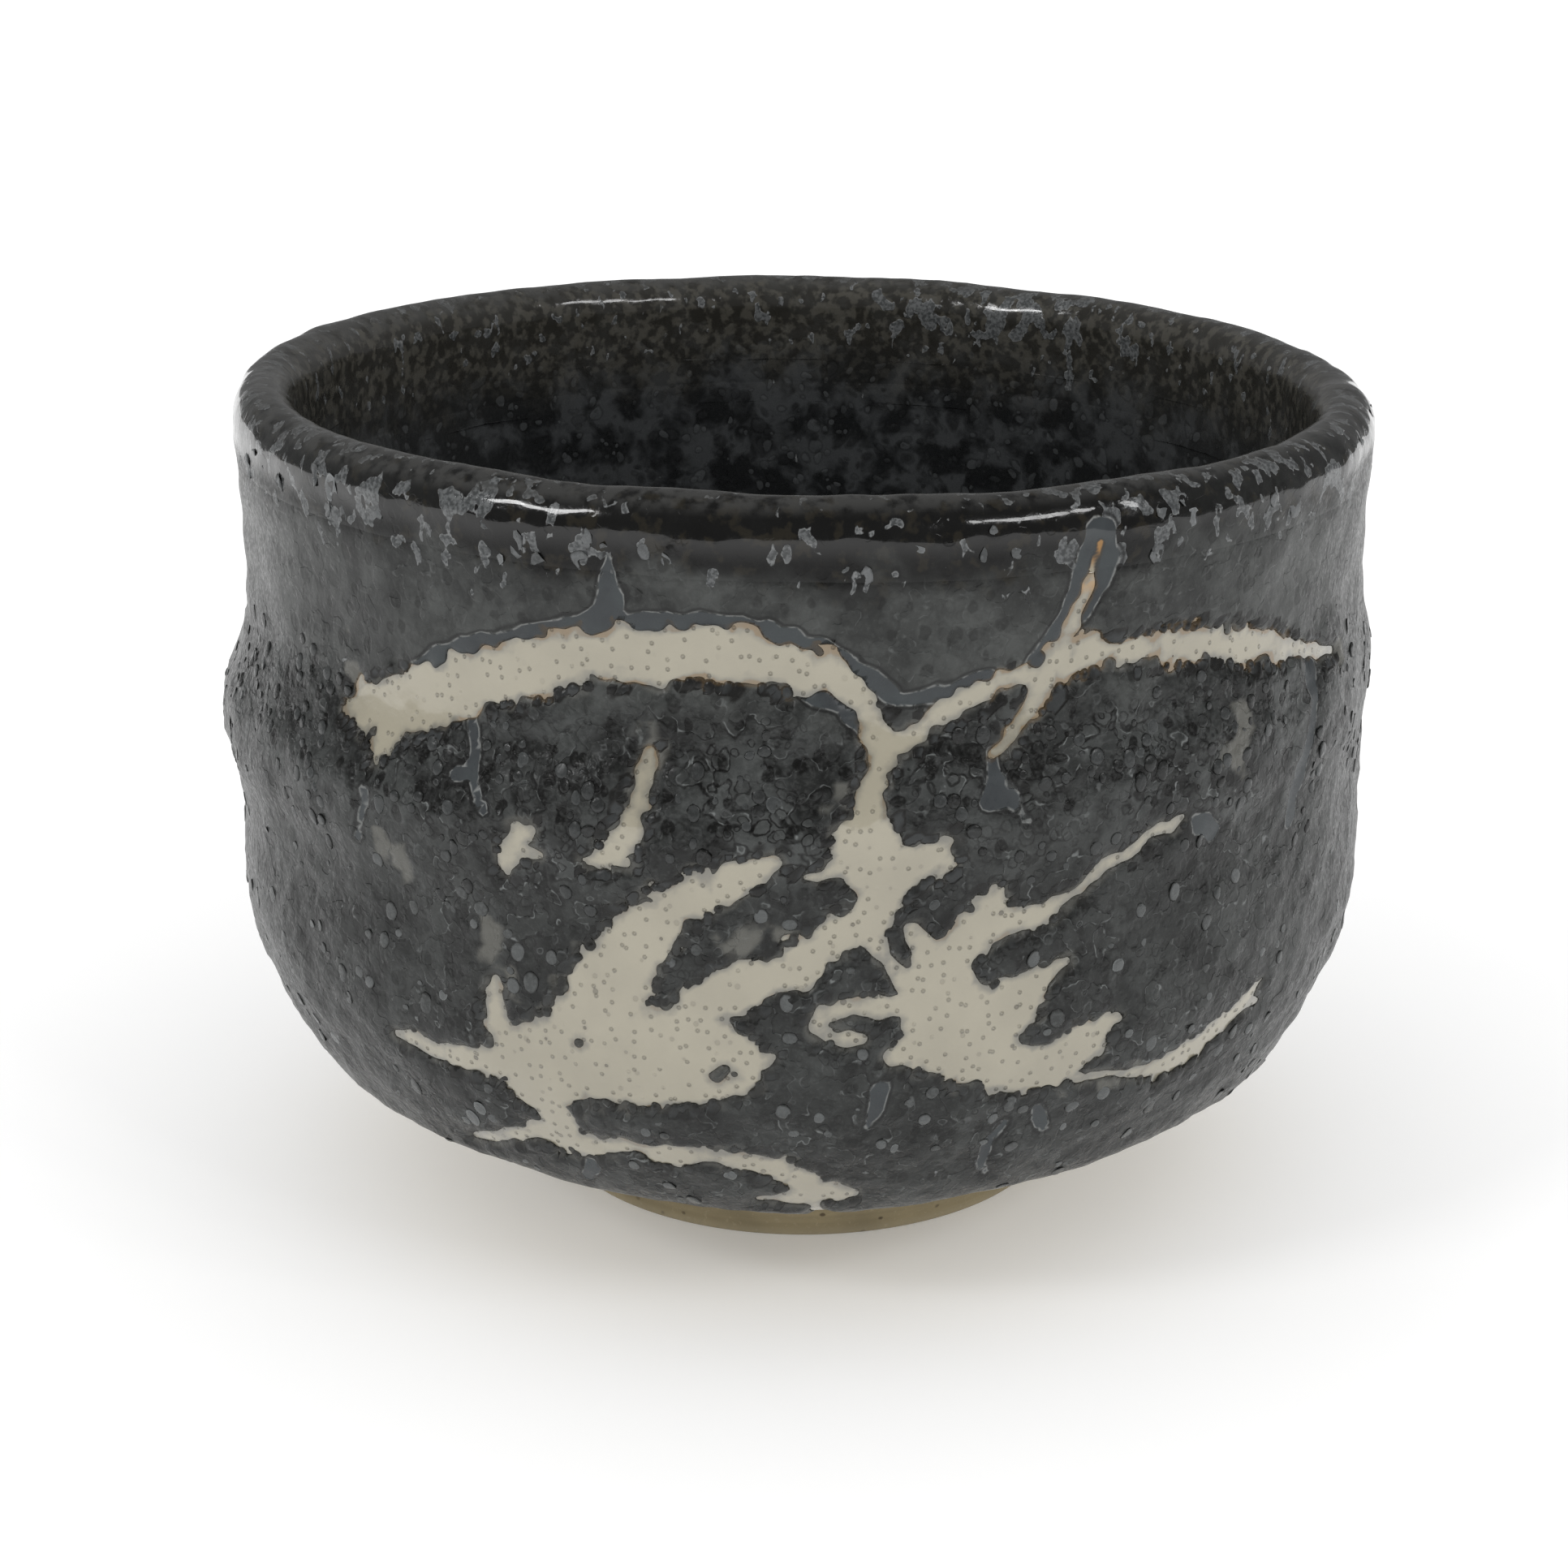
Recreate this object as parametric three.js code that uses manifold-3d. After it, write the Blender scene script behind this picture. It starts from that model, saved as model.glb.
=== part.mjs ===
// A hand-thrown matcha bowl: a clay body on a luted foot ring, coated inside and out.
// The outer coat is dark glaze over a cream ground, with brush marks where wax kept the dark glaze off.
// Units are millimetres, +Z is up, the table is Z = 0 and the brushed side faces -Y.
// Angles are degrees round the wall from that front, growing towards +X.

import * as THREE from "three";
import { mergeVertices } from "three/addons/utils/BufferGeometryUtils.js";
import Module from "manifold-3d";

// Overall sizes
const BOWL_HEIGHT = 86.2; // table to the glazed crest of the lip
const HIP_RADIUS = 58.2; // clay at the top of the belly
const WAIST_NARROWING = 1.8; // how far the wall draws in above the belt
const LIP_FLARE = 0.7; // how far it opens again at the lip
const WALL_THICKNESS = 4; // clay at the lip
const LIP_CLAY_ROUND = 2.2; // clay crest above the level where the lip starts to round

// Levels up the wall
const HIP_HEIGHT = 36; // belly turns into the upright wall
const TRIM_HEIGHT = 15.5; // the foot's trimming leaves a straight slope below this
const LIP_BAND = 7; // depth of the lip's own glaze below the crest, outside
const LIP_BAND_INSIDE = 12; // and inside
const GLAZE_LINE = 14.4; // the dipped coats stop here and the clay stays bare
const INNER_BELLY_HEIGHT = 45; // the inside wall turns into the inner belly

// Foot
const FOOT_RADIUS = 28.1; // outer edge that stands on the table
const FOOT_WIDTH = 7.2; // ring seen from below
const FOOT_HEIGHT = 3.9;
const FOOT_FLARE = 1.1; // how far its outside leans out
const FOOT_BEVEL = 0.5;
const RECESS_RISE = 1.2; // ceiling inside the ring, above the ring's top
const NUB_DROP = 0.8; // low centre of that ceiling
const NUB_RADIUS = 5;

// Floor
const FLOOR_THICKNESS = 6.9; // clay between the luting face and the tea pool's edge
const POOL_RADIUS = 15;
const POOL_DEPTH = 1;

// Coats and the clearance between two pieces that touch on the real bowl
const CLEARANCE = 0.3;
const GROUND_COAT = 0.3;
const DARK_COAT = 0.5;
const INNER_COAT = 0.5;

// Roundness of the belly, outside and in: 2 is a quarter circle, more is squarer
const BELLY_POWER = 1.8;
const INNER_BELLY_POWER = 2.5;

// The raised belt is higher up the wall on the right and bolder on the left
const BELT_HEIGHT = 56;
const BELT_HEIGHT_SWING = 3;
const BELT_RISE = 1.9;
const BELT_RISE_SWING = 0.7;
const BELT_SPREAD = 4.8;
const BELLY_LEAN = 0.6; // the belly sits this far to the left at LEAN_HEIGHT, and not at all from LEAN_TOP up
const LEAN_HEIGHT = 25;
const LEAN_TOP = 55;

// Unevenness of a bowl thrown by hand
const OVALITY = 0.3;
const THREE_LOBED = 0.12;
const RIM_TILT = 0.8; // lip lower on the right and higher on the left

// Mesh
const SIDES = 40;
const WALL_ROWS = 14;
const BELLY_ROWS = 5;
const INNER_ROWS = 6;
const LIP_ARC_ROWS = 6;

// Derived levels
const outerStack = CLEARANCE + GROUND_COAT + CLEARANCE + DARK_COAT;
const innerStack = CLEARANCE + INNER_COAT;
const clayCrest = BOWL_HEIGHT - outerStack;
const lipLevel = clayCrest - LIP_CLAY_ROUND;
const bandLevel = BOWL_HEIGHT - LIP_BAND;
const innerBandLevel = BOWL_HEIGHT - LIP_BAND_INSIDE;
const lutingLevel = FOOT_HEIGHT + CLEARANCE;
const floorLevel = lutingLevel + FLOOR_THICKNESS;
const footEdge = FOOT_RADIUS + FOOT_FLARE;
const lipRadius = HIP_RADIUS - WAIST_NARROWING + LIP_FLARE;
const innerRadius = lipRadius - WALL_THICKNESS;
const midWall = lipRadius - WALL_THICKNESS / 2;

// Brush marks: [angle, height, half width] along each stroke, on a wall of MARKS_WALL_HEIGHT.
const MARKS_WALL_HEIGHT = 86.2;
const MARKS_RADIUS = 59; // arc lengths on the wall are measured at this radius
const STROKES = {
  arch: [
    [-47.4, 61.9, 1.2], [-45, 62.3, 2.6], [-41, 62.9, 3], [-37.5, 64.6, 3.4], [-34, 66, 3.2], [-30, 67.6, 2.7],
    [-25, 69.4, 2.6], [-20, 71.1, 2.2], [-15, 71.8, 2.2], [-10, 72.5, 2.3], [-5, 72.4, 2.4], [-1, 71.6, 2.1],
    [2, 70.6, 1.9], [4.4, 69, 1.5], [6, 66.9, 1.1], [7, 64.9, 1.3], [7.4, 63.2, 1.2],
  ],
  archLobe: [[-41.6, 61.4, 2.4], [-42, 59.4, 1.8], [-42.2, 57.8, 0.6]],
  rightBranch: [
    [6.6, 63.8, 1.4], [9.3, 64.7, 1], [10.6, 65.6, 0.9], [12.2, 66.8, 1.3], [15, 67.9, 1.15], [17.5, 69, 0.9],
    [20, 69.8, 1.1], [22.5, 70.7, 1.6], [24.3, 71.4, 2], [26.5, 71, 1.8], [28.6, 70.7, 0.9], [30.5, 70.4, 1],
    [33.5, 70.5, 1.6], [37, 70.2, 1.3], [40, 69.8, 0.9], [42, 69.5, 1.3], [45, 68.3, 1.8], [48, 67.8, 1.6],
    [51, 67, 1.1], [54, 66.1, 0.7], [58, 65.2, 0.6], [62.3, 64.2, 0.3],
  ],
  dagger: [[23.6, 70.6, 1.6], [21.6, 68.3, 1.4], [20.2, 66.3, 1], [19.2, 64.9, 0.6], [18, 63.6, 0.9], [16.8, 62.7, 0.3]],
  risingLine: [[24.3, 73, 0.7], [24.9, 75, 0.65], [25.7, 76.6, 0.5], [26, 77.8, 0.4]],
  neck: [
    [7, 63.6, 1.3], [6.3, 61.8, 0.6], [5.7, 60, 0.9], [5.6, 58.4, 1.5], [5.3, 56.8, 2.4], [5.5, 54.8, 3.4],
    [6.3, 53, 3.2], [6.5, 51.2, 2.6], [6.4, 49.5, 2.4], [5.6, 47.6, 2.3],
  ],
  shoulder: [[6, 53.4, 2.4], [9.5, 53.1, 2.2], [11.6, 53.7, 1.9], [12.8, 55.4, 0.7]],
  upperProng: [
    [-2.5, 53.7, 0.7], [-5.5, 52.3, 1.8], [-8.5, 50.6, 2.1], [-11.5, 48.4, 2.5], [-14.2, 45.6, 3.1],
    [-16.4, 42, 3.9], [-18.2, 38, 4.6], [-19.6, 33.6, 5],
  ],
  lowerProng: [[6.4, 49, 2.3], [3.6, 46.7, 2], [0.5, 44.2, 1.9], [-2.5, 42.3, 2.1], [-6, 40.8, 2.6], [-9, 38.6, 2.4]],
  leftFan: [
    [-28.6, 31.6, 2.4], [-24, 31.8, 4.6], [-19, 33.2, 5.6], [-14, 33.8, 5.6], [-10, 34, 5.2], [-7, 33.8, 4],
    [-4.8, 33.2, 2.3], [-2.4, 34.4, 0.6],
  ],
  fanTip: [[-27, 30.8, 2.6], [-31, 30, 1.6], [-35, 29.6, 1], [-40, 30, 0.9], [-41.4, 30, 0.3]],
  fanSpike: [[-28.2, 33, 2], [-28.7, 36.5, 1.1], [-28.6, 39, 0.7], [-28.7, 42, 0.8], [-28.5, 44.8, 0.6]],
  tailNeck: [[-24.6, 29.6, 4], [-24.1, 26.8, 3], [-23.6, 24.4, 2.5], [-23.4, 21.6, 1.9]],
  tailLeft: [[-22.6, 23, 1.6], [-26.5, 22.6, 1.4], [-29, 21.7, 1.1], [-31.5, 20.6, 0.8], [-36, 18.8, 0.3]],
  tailRight: [
    [-24.4, 22.2, 2], [-21, 22, 1.7], [-18.5, 22.3, 1.1], [-16, 22.9, 0.6], [-13.8, 22.1, 1.6], [-11.5, 22.1, 1.4],
    [-9, 22.4, 0.9], [-6, 22, 1.1], [-3.5, 21.6, 1.6], [-0.7, 20.1, 1.7], [1.3, 18.5, 1.8], [3.4, 17.6, 1.3],
    [5.8, 17, 0.4],
  ],
  upperDab: [[-24.2, 55.2, 0.5], [-25.2, 54.2, 1.1], [-26.1, 52.7, 1.3], [-26.8, 51.2, 0.8], [-26.8, 50.2, 0.3]],
  longDab: [
    [-13.8, 63.2, 0.5], [-13.9, 61.6, 1.1], [-14.2, 59.8, 0.9], [-14.5, 58, 1.1], [-15.1, 56.2, 1.5],
    [-16, 54.5, 1.7], [-17.4, 53.2, 1.2], [-19.2, 52.5, 0.4],
  ],
  rightFan: [
    [9.6, 47.4, 0.8], [11, 44.4, 1.7], [11.6, 42, 3.4], [12.8, 39.4, 4.4], [14.4, 36.6, 5.3], [17, 34.2, 4.6],
    [20, 32, 3.3], [23, 31, 2.5], [26.2, 30.2, 1.7],
  ],
  fanUp: [[12.6, 42.6, 2.6], [14.9, 45.4, 2.2], [16.6, 47.8, 2.1], [17.3, 49.6, 0.9]],
  trailingLine: [
    [16.8, 46.6, 1.8], [19.3, 46.7, 1.3], [21, 46.7, 1.1], [23, 47.7, 1], [24.7, 48.5, 0.55], [26, 49.3, 0.55],
    [28.4, 51, 0.75], [30, 51.2, 0.5], [32, 52.6, 0.6], [35, 53.4, 0.7], [36.4, 54, 0.3],
  ],
  fanRight: [[17, 36.4, 3.8], [19.3, 38.4, 2.9], [21.4, 40.2, 2], [22.8, 41.2, 1.1], [24.6, 41.9, 0.4]],
  fanHook: [[19.4, 31.2, 2.4], [22.6, 31, 2.5], [25.2, 31.8, 2.8], [27.2, 33.2, 2.5], [28.8, 34.4, 1.5], [30.2, 34.9, 0.5]],
  fanArm: [
    [10, 39.2, 1.3], [6, 39.3, 0.9], [3.5, 39.2, 0.9], [1.7, 38.6, 0.7], [1.4, 37.4, 0.6], [2.6, 36.4, 0.6],
    [4.4, 36.2, 0.6], [5.8, 36.1, 0.4],
  ],
  lowStreak: [
    [35.3, 27.8, 0.4], [37.5, 27.8, 1.5], [39.5, 28.3, 1.8], [42, 29, 1.6], [44.5, 29.8, 1.2], [46.5, 30.8, 1],
    [48.2, 31.7, 1.2], [50.2, 33.2, 0.3],
  ],
};
const CUT_REACH = 3; // how far a brush cutter runs past the wall, in and out

const wasm = await Module();
wasm.setup();

const radians = THREE.MathUtils.degToRad;
const smoothstep = THREE.MathUtils.smoothstep;

// A squared-off quarter round from the foot's edge to the hip.
function bellyRadius(height) {
  const rise = (height - lutingLevel) / (HIP_HEIGHT - lutingLevel);
  const share = (1 - (1 - rise) ** BELLY_POWER) ** (1 / BELLY_POWER);
  return footEdge + (HIP_RADIUS - footEdge) * share;
}

// Outside of the clay: the radius at a height, over the trimmed slope, the belly and the drawn-in wall above it.
function clayRadius(height) {
  if (height < TRIM_HEIGHT) {
    const share = (height - lutingLevel) / (TRIM_HEIGHT - lutingLevel);
    return footEdge + (bellyRadius(TRIM_HEIGHT) - footEdge) * share;
  }
  if (height < HIP_HEIGHT) return bellyRadius(height);
  const waistLevel = (HIP_HEIGHT + lipLevel) / 2 + (lipLevel - HIP_HEIGHT) / 5;
  const drawnIn = WAIST_NARROWING * smoothstep(height, HIP_HEIGHT, waistLevel);
  return HIP_RADIUS - drawnIn + LIP_FLARE * smoothstep(height, waistLevel, lipLevel);
}

function evenly(from, to, rows) {
  return Array.from({ length: rows + 1 }, (_, i) => from + ((to - from) * i) / rows);
}

function vectors(pairs) {
  return pairs.map(([radius, height]) => new THREE.Vector2(radius, height));
}

// The clay's outside from the luting face up to the lip, in three stretches that share their end points.
const bareLine = vectors(evenly(lutingLevel, GLAZE_LINE, BELLY_ROWS).map((z) => [clayRadius(z), z]));
const coatedLine = vectors(evenly(GLAZE_LINE, bandLevel, WALL_ROWS).map((z) => [clayRadius(z), z]));
const upperLine = vectors([bandLevel, lipLevel].map((z) => [clayRadius(z), z]));

// The clay's inside from the lip down to the middle of the floor.
const innerBandLine = vectors([lipLevel, innerBandLevel].map((z) => [innerRadius, z]));
const innerWallLine = vectors([
  ...evenly(innerBandLevel, INNER_BELLY_HEIGHT, 3).map((z) => [innerRadius, z]),
  ...evenly(0, Math.PI / 2, INNER_ROWS).slice(1).map((turn) => {
    const across = Math.cos(turn) ** (2 / INNER_BELLY_POWER);
    const down = Math.sin(turn) ** (2 / INNER_BELLY_POWER);
    return [
      POOL_RADIUS + (innerRadius - POOL_RADIUS) * across,
      INNER_BELLY_HEIGHT - (INNER_BELLY_HEIGHT - floorLevel) * down,
    ];
  }),
  [0, floorLevel - POOL_DEPTH],
]);

// A line moved square to itself, to its right as it runs; a point on the axis stays on it.
function offset(line, distance) {
  return line.map((point, i) => {
    const before = line[Math.max(i - 1, 0)];
    const after = line[Math.min(i + 1, line.length - 1)];
    const along = after.clone().sub(before).normalize();
    const moved = new THREE.Vector2(point.x + along.y * distance, point.y - along.x * distance);
    if (point.x === 0) moved.set(0, point.y - Math.sign(along.x) * distance);
    return moved;
  });
}

// Half an ellipse over the lip, from its outside to its inside.
function lipArc(outer, inner, crest) {
  const middle = (outer + inner) / 2;
  return evenly(0, Math.PI, LIP_ARC_ROWS).map(
    (turn) =>
      new THREE.Vector2(
        middle + (outer - middle) * Math.cos(turn),
        lipLevel + (crest - lipLevel) * Math.sin(turn),
      ),
  );
}

// The thrower's unevenness, shared by all pieces so that their clearances stay: belt, oval, three lobes, tilt and lean.
function unevenness(point) {
  const angle = Math.atan2(point.y, point.x);
  const radius = Math.hypot(point.x, point.y);
  const height = point.z;
  const share = radius / HIP_RADIUS;
  const level = (height / BOWL_HEIGHT) ** 2;
  const beltMiddle = BELT_HEIGHT + BELT_HEIGHT_SWING * Math.cos(angle);
  const beltRise = BELT_RISE - BELT_RISE_SWING * Math.cos(angle);
  const belt = radius > midWall ? beltRise * Math.exp(-(((height - beltMiddle) / BELT_SPREAD) ** 2) / 2) : 0;
  const oval = OVALITY * Math.cos(2 * angle + 0.8) + THREE_LOBED * Math.cos(3 * angle + 2);
  const grown = radius === 0 ? 1 : (radius + belt + share * level * oval) / radius;
  const tilt = -RIM_TILT * Math.cos(angle) * share * level;
  const leaning = smoothstep(height, lutingLevel, LEAN_HEIGHT) * (1 - smoothstep(height, LEAN_HEIGHT, LEAN_TOP));
  return new THREE.Vector3(point.x * grown - BELLY_LEAN * leaning, point.y * grown, height + tilt);
}

function turned(outline) {
  const geometry = new THREE.LatheGeometry(outline, SIDES);
  geometry.rotateX(Math.PI / 2);
  return bareGeometry(geometry);
}

// Positions only, with shared vertices merged, so that the mesh is one closed surface.
function bareGeometry(geometry) {
  geometry.deleteAttribute("uv");
  geometry.deleteAttribute("normal");
  return mergeVertices(geometry, 1e-3);
}

function uneven(geometry) {
  const position = geometry.getAttribute("position");
  const point = new THREE.Vector3();
  for (let i = 0; i < position.count; i++) {
    const moved = unevenness(point.fromBufferAttribute(position, i));
    position.setXYZ(i, moved.x, moved.y, moved.z);
  }
  return geometry;
}

function solid(geometry) {
  const position = geometry.getAttribute("position");
  const mesh = new wasm.Mesh({
    numProp: 3,
    vertProperties: new Float32Array(position.array),
    triVerts: new Uint32Array(geometry.index.array),
  });
  return new wasm.Manifold(mesh);
}

function geometryOf(made) {
  const mesh = made.getMesh();
  const geometry = new THREE.BufferGeometry();
  geometry.setAttribute("position", new THREE.BufferAttribute(mesh.vertProperties, mesh.numProp));
  geometry.setIndex(new THREE.BufferAttribute(mesh.triVerts, 1));
  return geometry;
}

// A ribbon that follows one brush stroke and runs right through the coat.
function brushCutter(stroke) {
  const last = stroke.length - 1;
  const scale = BOWL_HEIGHT / MARKS_WALL_HEIGHT;
  const arc = radians(1) * MARKS_RADIUS;
  const middle = stroke.map(([angle, height]) => new THREE.Vector2(angle * arc, height));
  const geometry = bareGeometry(new THREE.BoxGeometry(1, 1, 1, last, 1, 1));
  const position = geometry.getAttribute("position");
  for (let i = 0; i < position.count; i++) {
    const row = Math.round((position.getX(i) + 0.5) * last);
    const before = middle[Math.max(row - 1, 0)];
    const after = middle[Math.min(row + 1, last)];
    const along = after.clone().sub(before).normalize();
    const aside = 2 * position.getY(i) * stroke[row][2];
    const angle = radians((middle[row].x - along.y * aside) / arc);
    const height = (middle[row].y + along.x * aside) * scale;
    const radius = clayRadius(height) + outerStack + 2 * position.getZ(i) * CUT_REACH;
    position.setXYZ(i, radius * Math.sin(angle), -radius * Math.cos(angle), height);
  }
  return solid(uneven(geometry));
}

function coat(line, near, far) {
  const outline = [...offset(line, far), ...offset(line, near).reverse()];
  return uneven(turned([...outline, outline[0]]));
}

function clayBodyGeometry() {
  const recess = lutingLevel + RECESS_RISE;
  const ringInside = FOOT_RADIUS - FOOT_WIDTH;
  const underside = vectors([
    [0, recess - NUB_DROP],
    [NUB_RADIUS, recess],
    [ringInside - 2 * RECESS_RISE, recess],
    [ringInside, lutingLevel],
  ]);
  return uneven(
    turned([
      ...underside,
      ...bareLine,
      ...coatedLine.slice(1),
      ...lipArc(lipRadius, innerRadius, clayCrest),
      ...innerWallLine,
    ]),
  );
}

function footRingGeometry() {
  const inside = FOOT_RADIUS - FOOT_WIDTH;
  const outline = vectors([
    [inside + FOOT_BEVEL, 0],
    [FOOT_RADIUS - FOOT_BEVEL, 0],
    [FOOT_RADIUS, FOOT_BEVEL],
    [FOOT_RADIUS + FOOT_FLARE / 3, FOOT_HEIGHT * 0.6],
    [footEdge, FOOT_HEIGHT],
    [inside, FOOT_HEIGHT],
    [inside, FOOT_BEVEL],
    [inside + FOOT_BEVEL, 0],
  ]);
  return uneven(turned(outline));
}

function outerGlazeGeometry() {
  const nearSide = CLEARANCE + GROUND_COAT + CLEARANCE;
  let shell = solid(coat(coatedLine, nearSide, outerStack));
  for (const stroke of Object.values(STROKES)) shell = shell.subtract(brushCutter(stroke));
  return geometryOf(shell);
}

function lipGlazeGeometry() {
  const bandStart = upperLine.map((point) => point.clone());
  bandStart[0].y += CLEARANCE;
  const bandEnd = innerBandLine.map((point) => point.clone());
  bandEnd[1].y += CLEARANCE;
  const shell = (outerGap, innerGap, crest) => [
    ...offset(bandStart, outerGap).slice(0, 1),
    ...lipArc(lipRadius + outerGap, innerRadius - innerGap, crest),
    new THREE.Vector2(innerRadius - innerGap, bandEnd[1].y),
  ];
  const skin = shell(outerStack, innerStack, BOWL_HEIGHT);
  const back = shell(CLEARANCE, CLEARANCE, clayCrest + CLEARANCE);
  return uneven(turned([...skin, ...back.reverse(), skin[0]]));
}

function finish(color, roughness) {
  return new THREE.MeshStandardMaterial({ color, roughness, metalness: 0 });
}

const PIECES = [
  ["clay_body", clayBodyGeometry(), finish(0x8f8468, 0.85)],
  ["foot_ring", footRingGeometry(), finish(0x8f8468, 0.85)],
  ["ground_glaze", coat(coatedLine, CLEARANCE, CLEARANCE + GROUND_COAT), finish(0xc4bda9, 0.35)],
  ["outer_glaze", outerGlazeGeometry(), finish(0x3b3e3e, 0.2)],
  ["inner_glaze", coat(innerWallLine, CLEARANCE, innerStack), finish(0x2f302f, 0.2)],
  ["lip_glaze", lipGlazeGeometry(), finish(0x1d1b19, 0.12)],
];

const bowl = new THREE.Group();
for (const [name, geometry, material] of PIECES) {
  const mesh = new THREE.Mesh(geometry, material);
  mesh.name = name;
  bowl.add(mesh);
}

export default bowl;
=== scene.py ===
"""A hand-thrown matcha bowl, laid out as an add-on and run as a script.

Each piece is a fine surface over the packed clay model: bare clay, cream ground glaze, charcoal outer glaze
with windows where wax kept it off, the lining, the lip band, and the beads and crystals on the glaze.
Shapes are worked out in millimetres and written to meshes in metres. Angles are degrees round the wall from
the brushed front, which faces -Y, growing towards +X.
"""

import math

import bpy
import numpy as np
from bpy.props import FloatProperty, FloatVectorProperty, IntProperty, PointerProperty
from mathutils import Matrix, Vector


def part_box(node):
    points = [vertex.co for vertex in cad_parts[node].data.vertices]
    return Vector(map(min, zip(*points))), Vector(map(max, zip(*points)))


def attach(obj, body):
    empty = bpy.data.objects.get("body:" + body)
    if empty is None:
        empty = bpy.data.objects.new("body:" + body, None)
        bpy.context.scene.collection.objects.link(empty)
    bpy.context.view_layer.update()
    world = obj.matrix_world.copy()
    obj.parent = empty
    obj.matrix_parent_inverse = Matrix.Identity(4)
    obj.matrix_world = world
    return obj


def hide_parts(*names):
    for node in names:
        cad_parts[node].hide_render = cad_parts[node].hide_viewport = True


bl_info = {
    "name": "Matcha Bowl",
    "version": (1, 0, 0),
    "blender": (4, 5, 0),
    "location": "3D View > Sidebar > Matcha Bowl",
    "description": "Builds a hand-thrown matcha bowl with wax-resist brush marks",
    "category": "Add Mesh",
}

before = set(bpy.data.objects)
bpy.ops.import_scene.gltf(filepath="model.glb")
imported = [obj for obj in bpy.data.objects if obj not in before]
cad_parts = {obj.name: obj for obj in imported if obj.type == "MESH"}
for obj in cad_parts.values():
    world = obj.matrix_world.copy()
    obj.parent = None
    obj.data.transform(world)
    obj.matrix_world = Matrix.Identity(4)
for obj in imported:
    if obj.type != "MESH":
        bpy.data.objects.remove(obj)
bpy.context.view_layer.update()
MM = 0.001
BODY = "root"

# Roundness of the belly, outside and in: 2 is a quarter circle, more is squarer.
BELLY_POWER = 1.8
INNER_BELLY_POWER = 2.5

MARKS_RADIUS = 59  # arc lengths between marks are measured at this radius
ARC = math.radians(1) * MARKS_RADIUS  # millimetres along the wall for one degree
MARK_FIELDS = ("mark", "margin", "haze", "bead")
FAR = 8  # distances to marks are kept within this many millimetres

COAT_START = 12.2  # the coats' wall lines start at this height, near their wavy lower edge
BARE_TOP = 18  # the clay shows below this height at most
TUCK = 0.3  # how far one coat dives under the next where they cross
FILM = 0.01  # least thickness of the dark coat over the ground

CRYSTAL_DIM = (0.045, 0.048, 0.049)
CRYSTAL_PALE = (0.115, 0.12, 0.122)
PATCH_EDGE = (0.16, 0.169, 0.168)
RUSTY_LINE = (0.36, 0.215, 0.085)

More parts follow.
